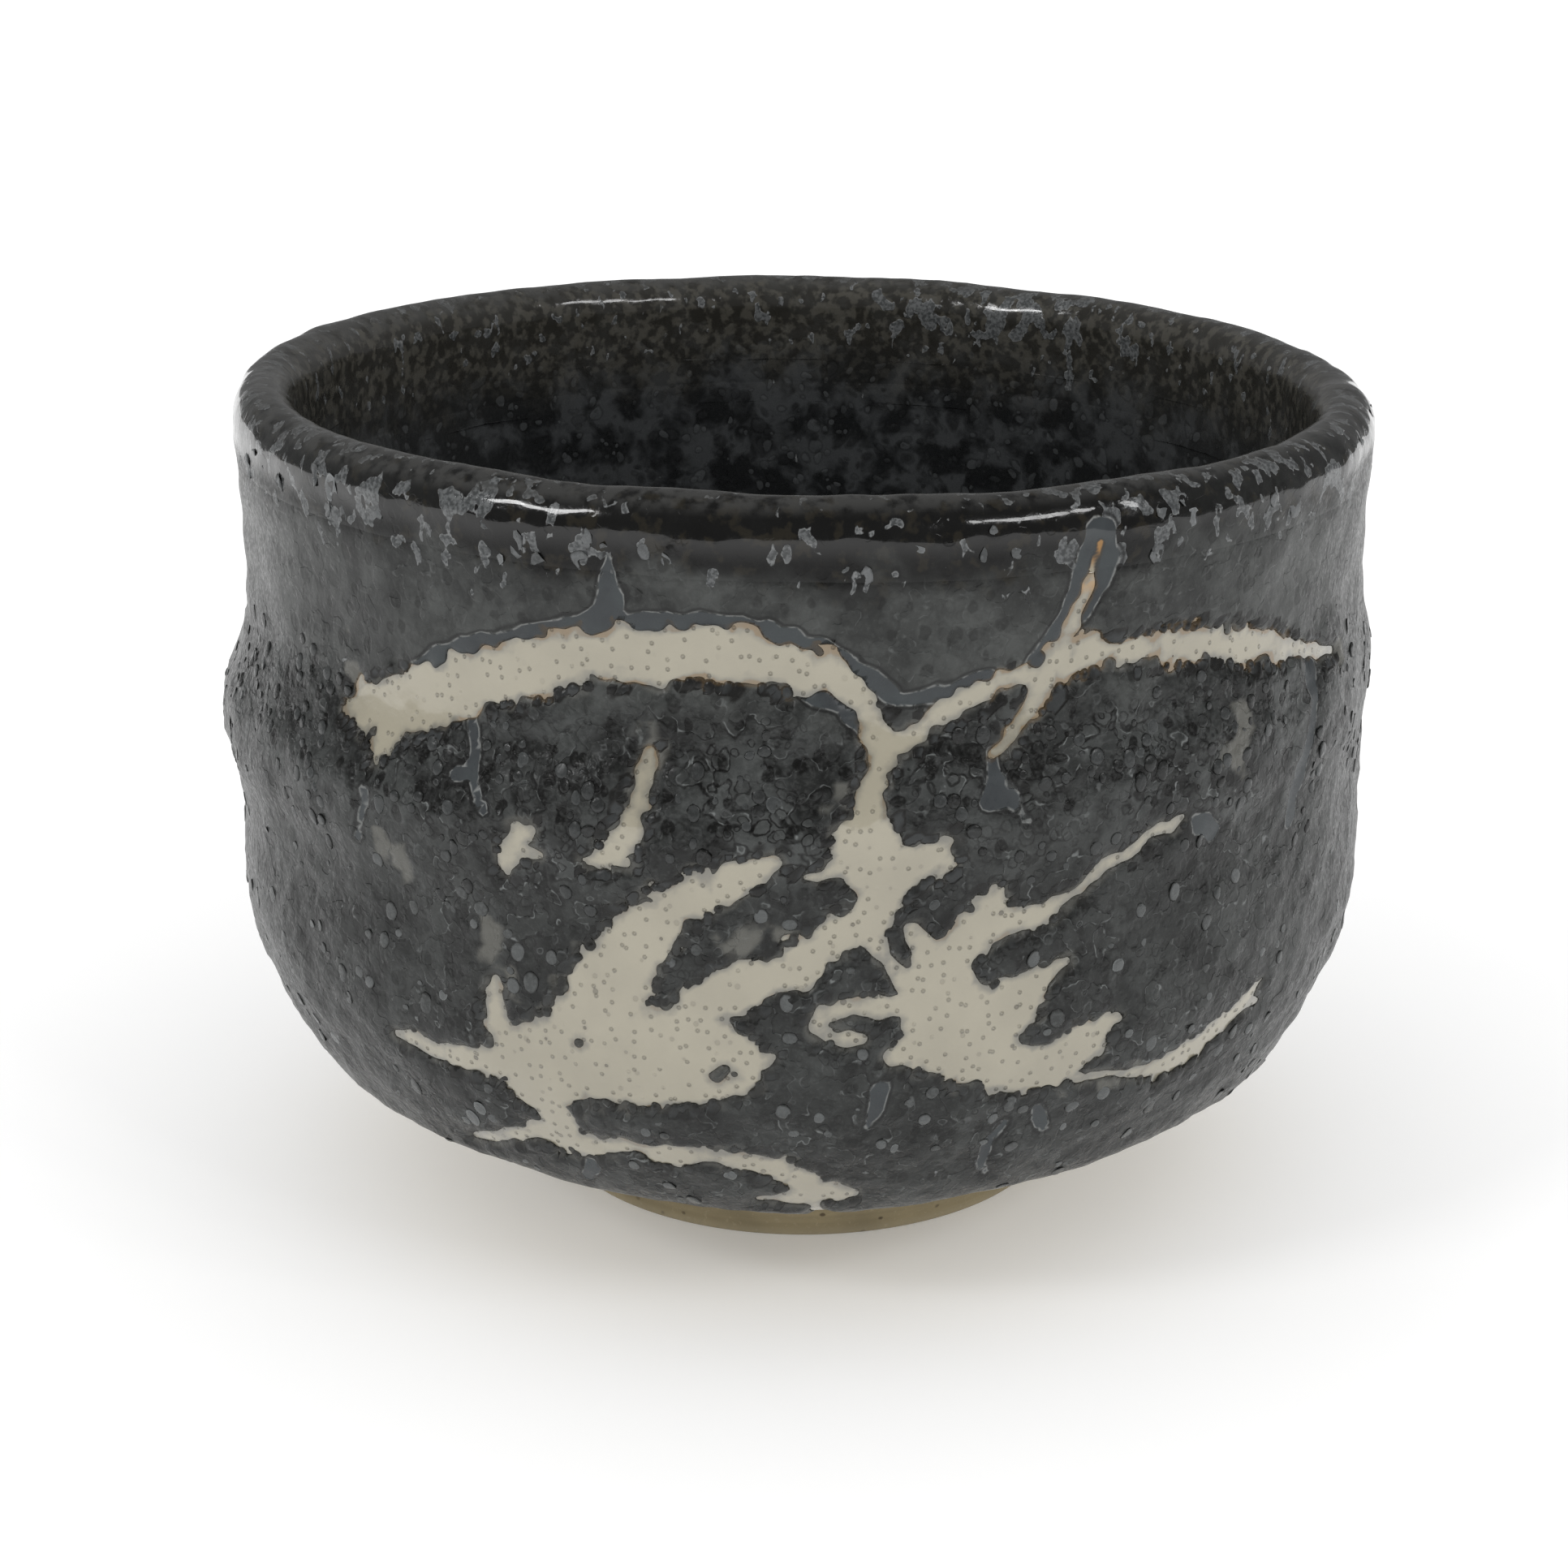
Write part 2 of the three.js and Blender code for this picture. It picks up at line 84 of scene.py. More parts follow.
# Brush strokes of wax, given like the three tables after them by (angle, height, half width) along each.
STROKES = {
    "arch": [
        (-46.9, 61.9, 1.3), (-45, 62.3, 2.4), (-41, 62.9, 2.8), (-37.5, 64.5, 3.2), (-34, 66, 3),
        (-30, 67.6, 2.6), (-25, 69.3, 2.6), (-20, 70.9, 2.4), (-15, 71.6, 2.45), (-10, 72.2, 2.5),
        (-5, 72.1, 2.5), (-1, 71.3, 2.1), (2, 70.5, 1.8), (4.4, 69, 1.4), (6, 66.9, 1), (7, 64.9, 1.2),
        (7.4, 63.7, 1.3),
    ],
    "arch_lobe": [(-41.6, 61.4, 2.2), (-42, 59.6, 1.8), (-42.2, 58.3, 0.8)],
    "right_branch": [
        (7.2, 63.8, 1.5), (9.3, 64.7, 0.9), (10.6, 65.4, 0.8), (12.2, 66.8, 1.2), (15, 67.9, 1.1),
        (17.5, 69, 0.85), (20, 69.8, 1), (22.5, 70.7, 1.5), (24.3, 71.4, 1.9), (26.5, 71, 1.7),
        (28.6, 70.7, 1.1), (30.5, 70.5, 1.2), (33.5, 70.4, 1.6), (37, 70.2, 1.6), (42, 69.6, 1.6),
        (45, 68.8, 1.7), (48, 68, 1.6), (51, 67.2, 1.3), (54, 66.3, 0.95), (58, 65.2, 0.7),
        (62.3, 64.2, 0.35),
    ],
    "dagger": [
        (23.4, 70.4, 1.5), (21.6, 68.2, 1.3), (20.3, 66.3, 1), (19.4, 65.1, 0.5), (18, 63.6, 0.8),
        (16.9, 62.8, 0.4),
    ],
    "rising_line": [
        (24.3, 73, 0.8), (24.9, 75, 0.65), (25.7, 76.6, 0.5), (26.1, 78.3, 0.42), (26.8, 81.6, 0.22),
    ],
    "neck": [
        (7.2, 63.6, 1.3), (6.3, 61.8, 0.95), (5.7, 60, 1.15), (5.6, 58.4, 1.65), (5.3, 56.8, 2.3),
        (5.5, 54.8, 3.2), (6.4, 53, 3), (6.6, 51.2, 2.4), (6.4, 49.5, 2.3), (5.6, 47.8, 2.3),
    ],
    "shoulder": [(6, 53.4, 2.4), (9.5, 53, 2.1), (11.6, 53.6, 1.8), (12.7, 55.2, 0.8)],
    "shoulder_wisp": [(3, 53.2, 1.1), (1.2, 52.4, 0.5), (0.2, 52.3, 0.25)],
    "upper_prong": [
        (-2.7, 53.6, 0.8), (-5.5, 52.3, 1.7), (-8.5, 50.6, 2), (-11.5, 48.5, 2.3), (-14, 46, 2.9),
        (-16, 42.6, 3.5), (-17.8, 39, 4.1), (-19, 35, 4.6),
    ],
    "lower_prong": [
        (6.2, 48.6, 2.2), (3.4, 46.6, 1.9), (0.5, 44.1, 1.9), (-2.5, 42.3, 2), (-5.6, 41, 2.5),
        (-8.6, 39.4, 2.2), (-10.6, 37.4, 2.2),
    ],
    "left_fan": [
        (-28.4, 31.6, 2.4), (-24, 31.6, 4.4), (-19, 33, 5.4), (-14, 33.6, 5.3), (-10, 33.8, 5),
        (-7.2, 33.6, 4.1), (-5.4, 33, 2.6), (-3.4, 33.6, 1), (-2.4, 34.4, 0.5),
    ],
    "fan_tip": [
        (-27, 30.8, 2.5), (-31, 30, 1.5), (-35, 29.6, 0.95), (-38, 29.8, 0.85), (-40, 30, 0.9),
        (-41.3, 30, 0.4),
    ],
    "fan_spike": [(-28.2, 33.2, 2), (-28.7, 36.5, 1.05), (-28.6, 39, 0.65)],
    "tail_neck": [(-25.6, 28.8, 3.2), (-24.1, 26.8, 2.8), (-23.6, 24.6, 2.3), (-23.3, 22.4, 2)],
    "tail_left": [
        (-22.6, 22.9, 1.6), (-26.5, 22.5, 1.3), (-29, 21.6, 1.05), (-31.5, 20.5, 0.75), (-34, 19.6, 0.55),
        (-36, 18.8, 0.35),
    ],
    "tail_right": [
        (-23.6, 22.3, 2.1), (-21, 22, 1.6), (-18.5, 22.3, 1.05), (-16, 22.9, 0.6), (-13.8, 22.1, 1.6),
        (-11.5, 22.1, 1.35), (-9, 22.4, 0.85), (-6, 22.1, 1.05), (-3.5, 21.6, 1.5), (-0.7, 20.1, 1.6),
        (1.3, 18.4, 1.9), (3.2, 17.4, 1.3), (5.8, 17, 0.5),
    ],
    "tail_foot": [(1, 17.4, 1.6), (-1, 16.7, 0.9), (-3, 16.3, 0.45), (-4.3, 16.2, 0.25)],
    "tail_drip": [(1.2, 16.6, 1), (1.8, 14.9, 0.8), (2.6, 13.2, 0.7)],
    "upper_dab": [
        (-24.3, 55, 0.6), (-25.2, 54.2, 1.1), (-26, 52.8, 1.3), (-26.8, 51.2, 0.8), (-26.8, 50.3, 0.35),
    ],
    "upper_dab_arm": [(-25.5, 53, 0.9), (-23.4, 52.6, 0.35)],
    "long_dab": [
        (-13.8, 62.8, 0.6), (-13.9, 61.4, 1), (-14.2, 59.8, 0.85), (-14.5, 58, 1.1), (-15.1, 56.2, 1.45),
        (-15.9, 54.5, 1.55), (-16.9, 53.4, 1.3), (-18.8, 52.6, 0.6),
    ],
    "dab_foot": [(-15.4, 53, 0.8), (-17.2, 53.1, 1), (-19.2, 52.8, 0.35)],
    "right_fan": [
        (9.8, 46.8, 0.7), (11, 44.4, 1.5), (11.6, 42.1, 3.1), (12.6, 39.6, 4.2), (14.2, 36.7, 5.2),
        (16.4, 34.3, 4.2), (19, 32, 3.1), (23, 31, 2.4), (26, 30.2, 1.7),
    ],
    "fan_lobe": [(10.5, 34.8, 2), (8.4, 34.1, 0.8)],
    "body_link": [(5.6, 46.6, 1.2), (7.1, 44.7, 0.8), (8.4, 42.9, 1), (10, 41.5, 1.8)],
    "fan_up": [(12.8, 43, 2.4), (15, 45.6, 2.1), (16.5, 47.7, 2), (17.3, 49.4, 0.9)],
    "trailing_line": [
        (16.8, 46.6, 1.8), (19.3, 46.7, 1.3), (21, 46.6, 1.1), (23, 47.7, 0.9), (24.7, 48.5, 0.5),
        (26, 49.2, 0.5), (27.3, 50.2, 0.6), (28.5, 51.1, 0.75), (30, 51.1, 0.5), (31.3, 52, 0.55),
        (32.4, 53, 0.45), (35, 53.4, 0.65), (36.3, 54, 0.35),
    ],
    "fan_right": [
        (17.4, 36.6, 3.5), (19.3, 38.4, 2.8), (21.4, 40.2, 1.9), (22.8, 41.2, 1.1), (24.5, 41.8, 0.45),
    ],
    "fan_hook": [
        (19.4, 31.2, 2.3), (22.6, 31, 2.4), (25.3, 31.8, 2.7), (27.2, 33.2, 2.4), (28.6, 34.3, 1.5),
        (30, 34.8, 0.7),
    ],
    "hook_tail": [
        (26, 29.8, 1.3), (27.6, 28.9, 0.6), (29.5, 28.9, 0.4), (31.5, 28.5, 0.3), (33.7, 27.9, 0.5),
        (36, 27.8, 0.6),
    ],
    "fan_arm": [
        (9.4, 39.3, 1.2), (6, 39.3, 0.9), (3.5, 39.2, 0.85), (1.8, 38.6, 0.8), (1.5, 37.4, 0.7),
        (2.7, 36.4, 0.65), (4.4, 36.2, 0.65), (5.6, 36.2, 0.55),
    ],
    "low_streak": [
        (35.3, 27.8, 0.6), (37.5, 27.8, 1.5), (39.5, 28.3, 1.8), (42, 29, 1.55), (44.5, 29.8, 1.15),
        (46.5, 30.8, 1), (48, 31.6, 1.2), (49.3, 32.9, 0.5), (50.2, 33.3, 0.25),
    ],
    "low_streak_fork": [(48.3, 31.3, 0.9), (50.3, 30.8, 0.25)],
}
# Dark glaze that ran back over the wax.
ISLANDS = {
    "neck_island": [(7.9, 46.2, 0.5), (8.6, 44.8, 0.8), (9.4, 43.2, 0.4)],
    "branch_bead": [(18, 67.6, 0.9)],
    "fan_bead": [(-7.4, 32, 0.65), (-6.6, 32.9, 0.4)],
    "fan_pair": [(-5.6, 32.4, 0.35)],
    "fan_dot": [(-20.1, 34.2, 0.42)],
    "fan_notch": [(-12.2, 42.4, 0.7), (-11.9, 39.3, 0.75)],
    "side_bead": [(-30, 32.6, 0.9)],
    "arm_slot": [(2.8, 37.7, 0.45), (5.2, 37.7, 0.35)],
    "arm_dot": [(2.8, 35.7, 0.4)],
    "branch_drips": [(42.8, 73, 0.7), (42.9, 70.6, 0.6)],
    "branch_lower_bead": [(28.7, 69.6, 0.75)],
    "junction_bead": [(6.8, 67.8, 0.4)],
    "arch_bead": [(-15, 74.6, 0.6)],
    "line_blob": [(21.2, 71.1, 0.9)],
}
# Smooth slate skin where the dark glaze crawled back from the wax, and runs of it further off.
MARGINS = {
    "arch_margin": [
        (-38.5, 67.4, 0.5), (-35, 68.8, 1), (-30, 70.4, 1.4), (-25, 72, 1.5), (-20, 73.2, 1.5),
        (-17.5, 74.1, 1.6), (-15, 74.2, 1.5), (-10, 74.6, 1.35), (-5, 74.5, 1.3), (-1, 73.6, 1.25),
        (3, 72, 1.15), (6, 69.9, 1.05), (8.5, 68.3, 0.75), (11, 68.1, 0.75), (13.5, 69, 0.9),
        (16.5, 69.6, 0.85),
    ],
    "flame": [(-17.2, 75.5, 1.4), (-17.2, 77.5, 1), (-17.4, 79, 0.7), (-17, 80.4, 0.35)],
    "line_margin": [
        (21.2, 71, 1), (23, 73, 1.1), (24.8, 75.5, 1.5), (26, 78, 1.95), (26.6, 80.5, 2), (26.8, 82.5, 1.6),
    ],
    "under_arch": [(0, 68.9, 0.6), (3.4, 67.9, 1), (5.4, 65.7, 1)],
    "left_run": [
        (-31.5, 63.5, 0.5), (-31, 61.2, 0.7), (-30.8, 59.6, 0.6), (-30, 57.6, 0.5), (-29, 56, 0.4),
    ],
    "left_run_arm": [(-32.2, 58.6, 0.7), (-30.8, 59, 0.5)],
    "far_left_run": [(-42.5, 55, 0.5), (-43, 52.4, 0.5), (-43.6, 50.5, 0.3)],
    "middle_run": [
        (16.6, 63, 0.4), (16.9, 60.6, 0.7), (16.2, 58.8, 0.8), (18.3, 59, 0.6), (19.4, 56.6, 0.4),
    ],
    "right_run": [
        (56.5, 64.4, 0.8), (56.2, 62, 0.8), (55.6, 59, 0.5), (54.6, 56.4, 0.6), (53.4, 54, 1),
        (52.8, 49.8, 0.8),
    ],
    "low_run_left": [(7.4, 31, 0.9), (7.2, 29, 0.7), (6.4, 26.6, 0.4)],
    "low_run_middle": [(20, 25.2, 0.5), (18.6, 23.4, 0.4), (18.4, 21.4, 0.5), (19, 19, 0.5)],
    "low_run_right": [(23.2, 26.4, 0.7), (24, 24.6, 0.5), (24.6, 23.6, 0.3)],
    "foot_run": [(-21.2, 19.2, 0.8), (-22.6, 17.6, 0.5)],
    "slate_patch": [(38.5, 53, 1.4), (40.2, 51.8, 1)],
}
# Places where the dark glaze is so thin that the ground shows through as a haze.
HAZE = {
    "left_patch": [(-40.6, 50.8, 1.2), (-39.2, 49.2, 1.6)],
    "spike_top": [(-28.8, 41, 0.7), (-28.6, 43, 0.9), (-28.4, 44.8, 0.5)],
    "spike_side": [(-27, 37.6, 1), (-26.6, 39, 0.6)],
    "prong_haze": [(-6.2, 44.6, 1), (-3, 47.2, 1.1)],
    "dab_haze": [(-14, 64, 0.8), (-12.6, 61.6, 0.5)],
    "neck_haze": [(3.6, 60, 0.8), (4, 58, 0.8)],
    "arch_end": [(-48.5, 66, 1), (-47, 64, 0.8)],
    "right_end": [(61.5, 64.2, 0.7), (64, 63.4, 0.4)],
    "band_right": [(44, 62, 1.6), (42.6, 58.4, 1.8)],
    "streak_join": [(30, 28.6, 0.7), (34.4, 28.2, 0.8)],
}


def length(name, description, millimetres):
    """A length in the panel, given here in millimetres."""
    metres = millimetres * MM
    return FloatProperty(name=name, description=description, default=metres, precision=5, unit="LENGTH")


def colour_of(name, description, value):
    return FloatVectorProperty(name=name, description=description, subtype="COLOR", size=3, default=value)


def factor(name, description, value):
    return FloatProperty(name=name, description=description, default=value)


class BowlSizes(bpy.types.PropertyGroup):
    """Driving sizes of the thrown form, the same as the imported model's."""

    height: length("Height", "Table to the glazed crest of the lip", 86.2)
    hip_radius: length("Hip radius", "Clay radius at the top of the belly", 58.2)
    hip_height: length("Hip height", "Where the belly turns into the wall", 36)
    trim_height: length("Trim height", "The foot's trimming leaves a straight slope below this", 15.5)
    waist_narrowing: length("Waist narrowing", "How far the wall draws in above the belt", 1.8)
    lip_flare: length("Lip flare", "How far the wall opens again at the lip", 0.7)
    wall: length("Wall", "Clay thickness at the lip", 4)
    lip_round: length("Lip round", "Clay crest above the level where the lip starts to round", 2.2)
    lip_band: length("Lip band", "Depth of the lip's own glaze outside", 7)
    lip_band_inside: length("Lip band inside", "Depth of the lip's own glaze inside", 12)
    inner_belly_height: length("Inner belly height", "Where the inside wall turns into the inner belly", 45)
    foot_radius: length("Foot radius", "Outer edge that stands on the table", 28.1)
    foot_width: length("Foot width", "Width of the standing ring", 7.2)
    foot_height: length("Foot height", "Height of the ring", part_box("foot_ring")[1].z / MM)
    foot_flare: length("Foot flare", "How far the ring's outside leans out", 1.1)
    foot_bevel: length("Foot bevel", "Rubbed corner of the ring", 0.5)
    recess_rise: length("Recess rise", "Ceiling inside the ring above its top", 1.2)
    nub_drop: length("Nub drop", "Low centre of that ceiling", 0.8)
    nub_radius: length("Nub radius", "Radius of the low centre", 5)
    floor: length("Floor", "Clay between the luting face and the tea pool's edge", 6.9)
    pool_radius: length("Pool radius", "Radius of the dip in the floor", 15)
    pool_depth: length("Pool depth", "Depth of the dip in the floor", 1)
    clearance: length("Clearance", "Gap between two pieces", 0.3)
    outer_stack: length("Outer stack", "Clay to the outer glaze's surface", 1.4)
    inner_stack: length("Inner stack", "Clay to the lining's surface", 0.8)
    belt_height: length("Belt height", "Middle of the raised belt", 56)
    belt_height_swing: length("Belt height swing", "How much higher it is on the right", 3)
    belt_rise: length("Belt rise", "How far the belt stands out", 1.9)
    belt_rise_swing: length("Belt rise swing", "How much bolder it is on the left", 0.7)
    belt_spread: length("Belt spread", "Width of the belt's slope", 4.8)
    belly_lean: length("Belly lean", "How far left the belly sits at the lean height", 0.6)
    lean_height: length("Lean height", "Where the belly leans most", 25)
    lean_top: length("Lean top", "No lean from here up", 55)
    oval: length("Oval", "How far the wall is from round", 0.3)
    lobes: length("Lobes", "Three slow bulges round the wall", 0.12)
    rim_tilt: length("Rim tilt", "Lip lower on the right and higher on the left", 0.8)


class GlazeSettings(bpy.types.PropertyGroup):
    """Finish of the coats."""

    ground_drop: length("Ground drop", "Cream ground below the dark glaze's surface", 0.35)
    edge_rounding: length("Edge rounding", "How far the dark glaze thins out towards the wax", 0.6)
    raggedness: length("Raggedness", "How far the dark glaze's edge wanders", 0.42)
    margin_step: length("Margin step", "Crawled edge above the smooth margin", 0.12)
    cream: colour_of("Cream", "Ground glaze", (0.302, 0.278, 0.213))
    clay: colour_of("Clay", "Bare fired clay", (0.27, 0.225, 0.135))
    slate: colour_of("Slate", "Smooth margins and runs", (0.043, 0.0495, 0.052))
    rust: colour_of("Rust", "Iron fringe beside the wax", (0.2, 0.12, 0.04))
    seed: IntProperty(name="Seed", description="Seed of beads and crystals", default=7)


def shade(colour, factor):
    return tuple(channel * factor for channel in colour)


def smoothstep(low, high, value):
    share = np.clip((value - low) / (high - low), 0, 1)
    return share * share * (3 - 2 * share)


def waves(points, wavelength, seed, count=28):
    """A smooth random field of about unit size with one wavelength, from waves in many directions."""
    random = np.random.default_rng(seed)
    direction = random.normal(size=(count, 3))
    direction *= (2 * math.pi / wavelength) / np.linalg.norm(direction, axis=1, keepdims=True)
    phase = random.uniform(0, 2 * math.pi, count)
    return np.cos(points @ direction.T + phase).sum(axis=-1) * math.sqrt(2 / count)


def stroke_distance(strokes, angle, height):
    """Distance outside the nearest stroke, negative within it, and that stroke's half width there."""
    nearest = np.full(angle.shape, 50.0)
    width = np.ones(angle.shape)
    for stroke in strokes.values():
        ends = stroke[1:] if len(stroke) > 1 else stroke
        for (a0, h0, w0), (a1, h1, w1) in zip(stroke, ends):
            along_x, along_y = (a1 - a0) * ARC, h1 - h0
            from_x, from_y = (angle - a0) * ARC, height - h0
            run = max(along_x**2 + along_y**2, 1e-9)
            share = np.clip((from_x * along_x + from_y * along_y) / run, 0, 1)
            half = w0 + (w1 - w0) * share
            distance = np.hypot(from_x - share * along_x, from_y - share * along_y) - half
            closer = distance < nearest
            nearest = np.where(closer, distance, nearest)
            width = np.where(closer, half, width)
    return nearest, width


def scattered(arc, height, spacing, seed):
    """Distance to the nearest of many scattered centres, its place, and a random number of its own."""
    repeat = 64
    table = np.random.default_rng(seed).random((3, repeat, repeat))
    square_x = np.floor(arc / spacing).astype(int)
    square_y = np.floor(height / spacing).astype(int)
    best = [np.full(arc.shape, 1e3)] + [np.zeros(arc.shape) for _ in range(3)]
    for step_x in (-1, 0, 1):
        for step_y in (-1, 0, 1):
            x, y = square_x + step_x, square_y + step_y
            shift_x, shift_y, own = table[:, x % repeat, y % repeat]
            centre_x = (x + 0.1 + 0.8 * shift_x) * spacing
            centre_y = (y + 0.1 + 0.8 * shift_y) * spacing
            distance = np.hypot(arc - centre_x, height - centre_y)
            closer = distance < best[0]
            found = (distance, centre_x, centre_y, own)
            best = [np.where(closer, new, old) for new, old in zip(found, best)]
    return best


class Form:
    """The bowl's surfaces in millimetres, from the sizes in the panel."""

    def __init__(self, scene):
        for group in (scene.bowl_sizes, scene.glaze_settings):
            for name, kind in group.bl_rna.properties.items():
                if kind.type == "FLOAT" and kind.unit == "LENGTH":
                    setattr(self, name, getattr(group, name) / MM)
        self.luting = self.foot_height + self.clearance
        self.foot_edge = self.foot_radius + self.foot_flare
        self.crest = self.height - self.outer_stack
        self.lip_level = self.crest - self.lip_round
        self.band_level = self.height - self.lip_band
        self.inner_band_level = self.height - self.lip_band_inside
        self.floor_level = self.luting + self.floor
        self.lip_radius = self.hip_radius - self.waist_narrowing + self.lip_flare
        self.inner_radius = self.lip_radius - self.wall
        self.mid_wall = self.lip_radius - self.wall / 2

    def belly_radius(self, height):
        """A squared-off quarter round from the foot's edge to the hip."""
        rise = np.clip((height - self.luting) / (self.hip_height - self.luting), 0, 1)
        share = (1 - (1 - rise) ** BELLY_POWER) ** (1 / BELLY_POWER)
        return self.foot_edge + (self.hip_radius - self.foot_edge) * share

    def clay_radius(self, height):
        """Radius of the clay's outside: the trimmed slope, the belly and the drawn-in wall above it."""
        trimmed = (height - self.luting) / (self.trim_height - self.luting)
        slope = self.foot_edge + (self.belly_radius(self.trim_height) - self.foot_edge) * trimmed
        waist = self.hip_height + 0.7 * (self.lip_level - self.hip_height)
        drawn_in = self.waist_narrowing * smoothstep(self.hip_height, waist, height)
        opened = self.lip_flare * smoothstep(waist, self.lip_level, height)
        return np.where(height < self.trim_height, slope, self.belly_radius(height) - drawn_in + opened)

    def wall_line(self, low, high, rows):
        height = np.linspace(low, high, rows)
        return np.column_stack([self.clay_radius(height), height])

    def lip_arc(self, outer, inner, crest, rows):
        """Half an ellipse over the lip, from its outside to its inside."""
        turn = np.linspace(0, math.pi, rows)
        middle = (outer + inner) / 2
        radius = middle + (outer - middle) * np.cos(turn)
        return np.column_stack([radius, self.lip_level + (crest - self.lip_level) * np.sin(turn)])

    def inside_line(self, high, rows):
        """The clay's inside from a height down to the middle of the floor."""
        wall = np.linspace(high, self.inner_belly_height, rows // 3, endpoint=False)
        turn = np.linspace(0, math.pi / 2, rows // 2)
        across = np.abs(np.cos(turn)) ** (2 / INNER_BELLY_POWER)
        down = np.abs(np.sin(turn)) ** (2 / INNER_BELLY_POWER)
        belly = np.column_stack(
            [
                self.pool_radius + (self.inner_radius - self.pool_radius) * across,
                self.inner_belly_height - (self.inner_belly_height - self.floor_level) * down,
            ]
        )
        share = np.linspace(1, 0, rows // 5)[1:]
        pool = np.column_stack(
            [self.pool_radius * share, self.floor_level - self.pool_depth * smoothstep(1, 0, share)]
        )
        return np.vstack([np.column_stack([np.full(len(wall), self.inner_radius), wall]), belly, pool])

    def unevenness(self, x, y, z):
        """The thrower's hand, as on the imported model: belt, oval, lobes, tilted lip and leaning belly."""
        angle = np.arctan2(y, x)
        radius = np.hypot(x, y)
        share = radius / self.hip_radius
        level = (z / self.height) ** 2
        middle = self.belt_height + self.belt_height_swing * np.cos(angle)
        rise = self.belt_rise - self.belt_rise_swing * np.cos(angle)
        swell = rise * np.exp(-(((z - middle) / self.belt_spread) ** 2) / 2)
        belt = np.where(radius > self.mid_wall, swell, 0)
        oval = self.oval * np.cos(2 * angle + 0.8) + self.lobes * np.cos(3 * angle + 2)
        grown = 1 + (belt + share * level * oval) / np.maximum(radius, 1e-6)
        grown = np.where(radius < 1e-3, 1, grown)
        leaning = smoothstep(self.luting, self.lean_height, z)
        leaning = leaning * smoothstep(self.lean_top, self.lean_height, z)
        tilted = z - self.rim_tilt * np.cos(angle) * share * level
        return np.stack([x * grown - self.belly_lean * leaning, y * grown, tilted], axis=-1)

    def place(self, radius, height, angle):
        turn = np.radians(angle)
        return self.unevenness(radius * np.sin(turn), -radius * np.cos(turn), height)


def normals(line):
    """Directions square to a line, to its right as it runs."""
    along = np.gradient(line, axis=0)
    along /= np.linalg.norm(along, axis=1, keepdims=True)
    return np.column_stack([along[:, 1], -along[:, 0]])


def offset(line, distance):
    return line + normals(line) * np.reshape(distance, (-1, 1))


def ring_angles(fine, coarse, start=-60.0, end=74.0):
    """Angles right round the wall, closer together across the brushed front."""
    front = np.arange(start, end, fine)
    back = np.linspace(end, start + 360, int((360 - end + start) / coarse), endpoint=False)
    return np.concatenate([front, back])


def grid_triangles(rows, columns):
    """Triangles of a grid whose columns run right round."""
    row, column = np.meshgrid(np.arange(rows - 1), np.arange(columns), indexing="ij")
    right = (column + 1) % columns
    a, b = row * columns + column, row * columns + right
    c, d = a + columns, b + columns
    lower = np.stack([a, b, d], axis=-1).reshape(-1, 3)
    upper = np.stack([a, d, c], axis=-1).reshape(-1, 3)
    return np.vstack([lower, upper])


def refine(data, triangles, chosen):
    """Splits in two every triangle edge that joins two chosen vertices."""
    corners = chosen[triangles]
    whole = triangles[corners.all(axis=1)]
    half = triangles[corners.sum(axis=1) == 2]
    kept = triangles[corners.sum(axis=1) < 2]
    first = np.argmin(chosen[half], axis=1) + 1
    half = half[np.arange(len(half))[:, None], (first[:, None] + np.arange(3)) % 3]
    ends = np.vstack([whole[:, [0, 1]], whole[:, [1, 2]], whole[:, [2, 0]], half[:, [0, 1]]])
    keys, where = np.unique(ends.min(axis=1) * len(data) + ends.max(axis=1), return_inverse=True)
    added = (data[keys // len(data)] + data[keys % len(data)]) / 2
    middle = np.split(len(data) + where, np.cumsum([len(whole)] * 3))
    a, b, c = whole.T
    ab, bc, ca, cut = middle
    made = [(a, ab, ca), (ab, b, bc), (ca, bc, c), (ab, bc, ca)]
    made += [(half[:, 0], cut, half[:, 2]), (cut, half[:, 1], half[:, 2])]
    return np.vstack([data, added]), np.vstack([kept, *(np.column_stack(corner) for corner in made)])


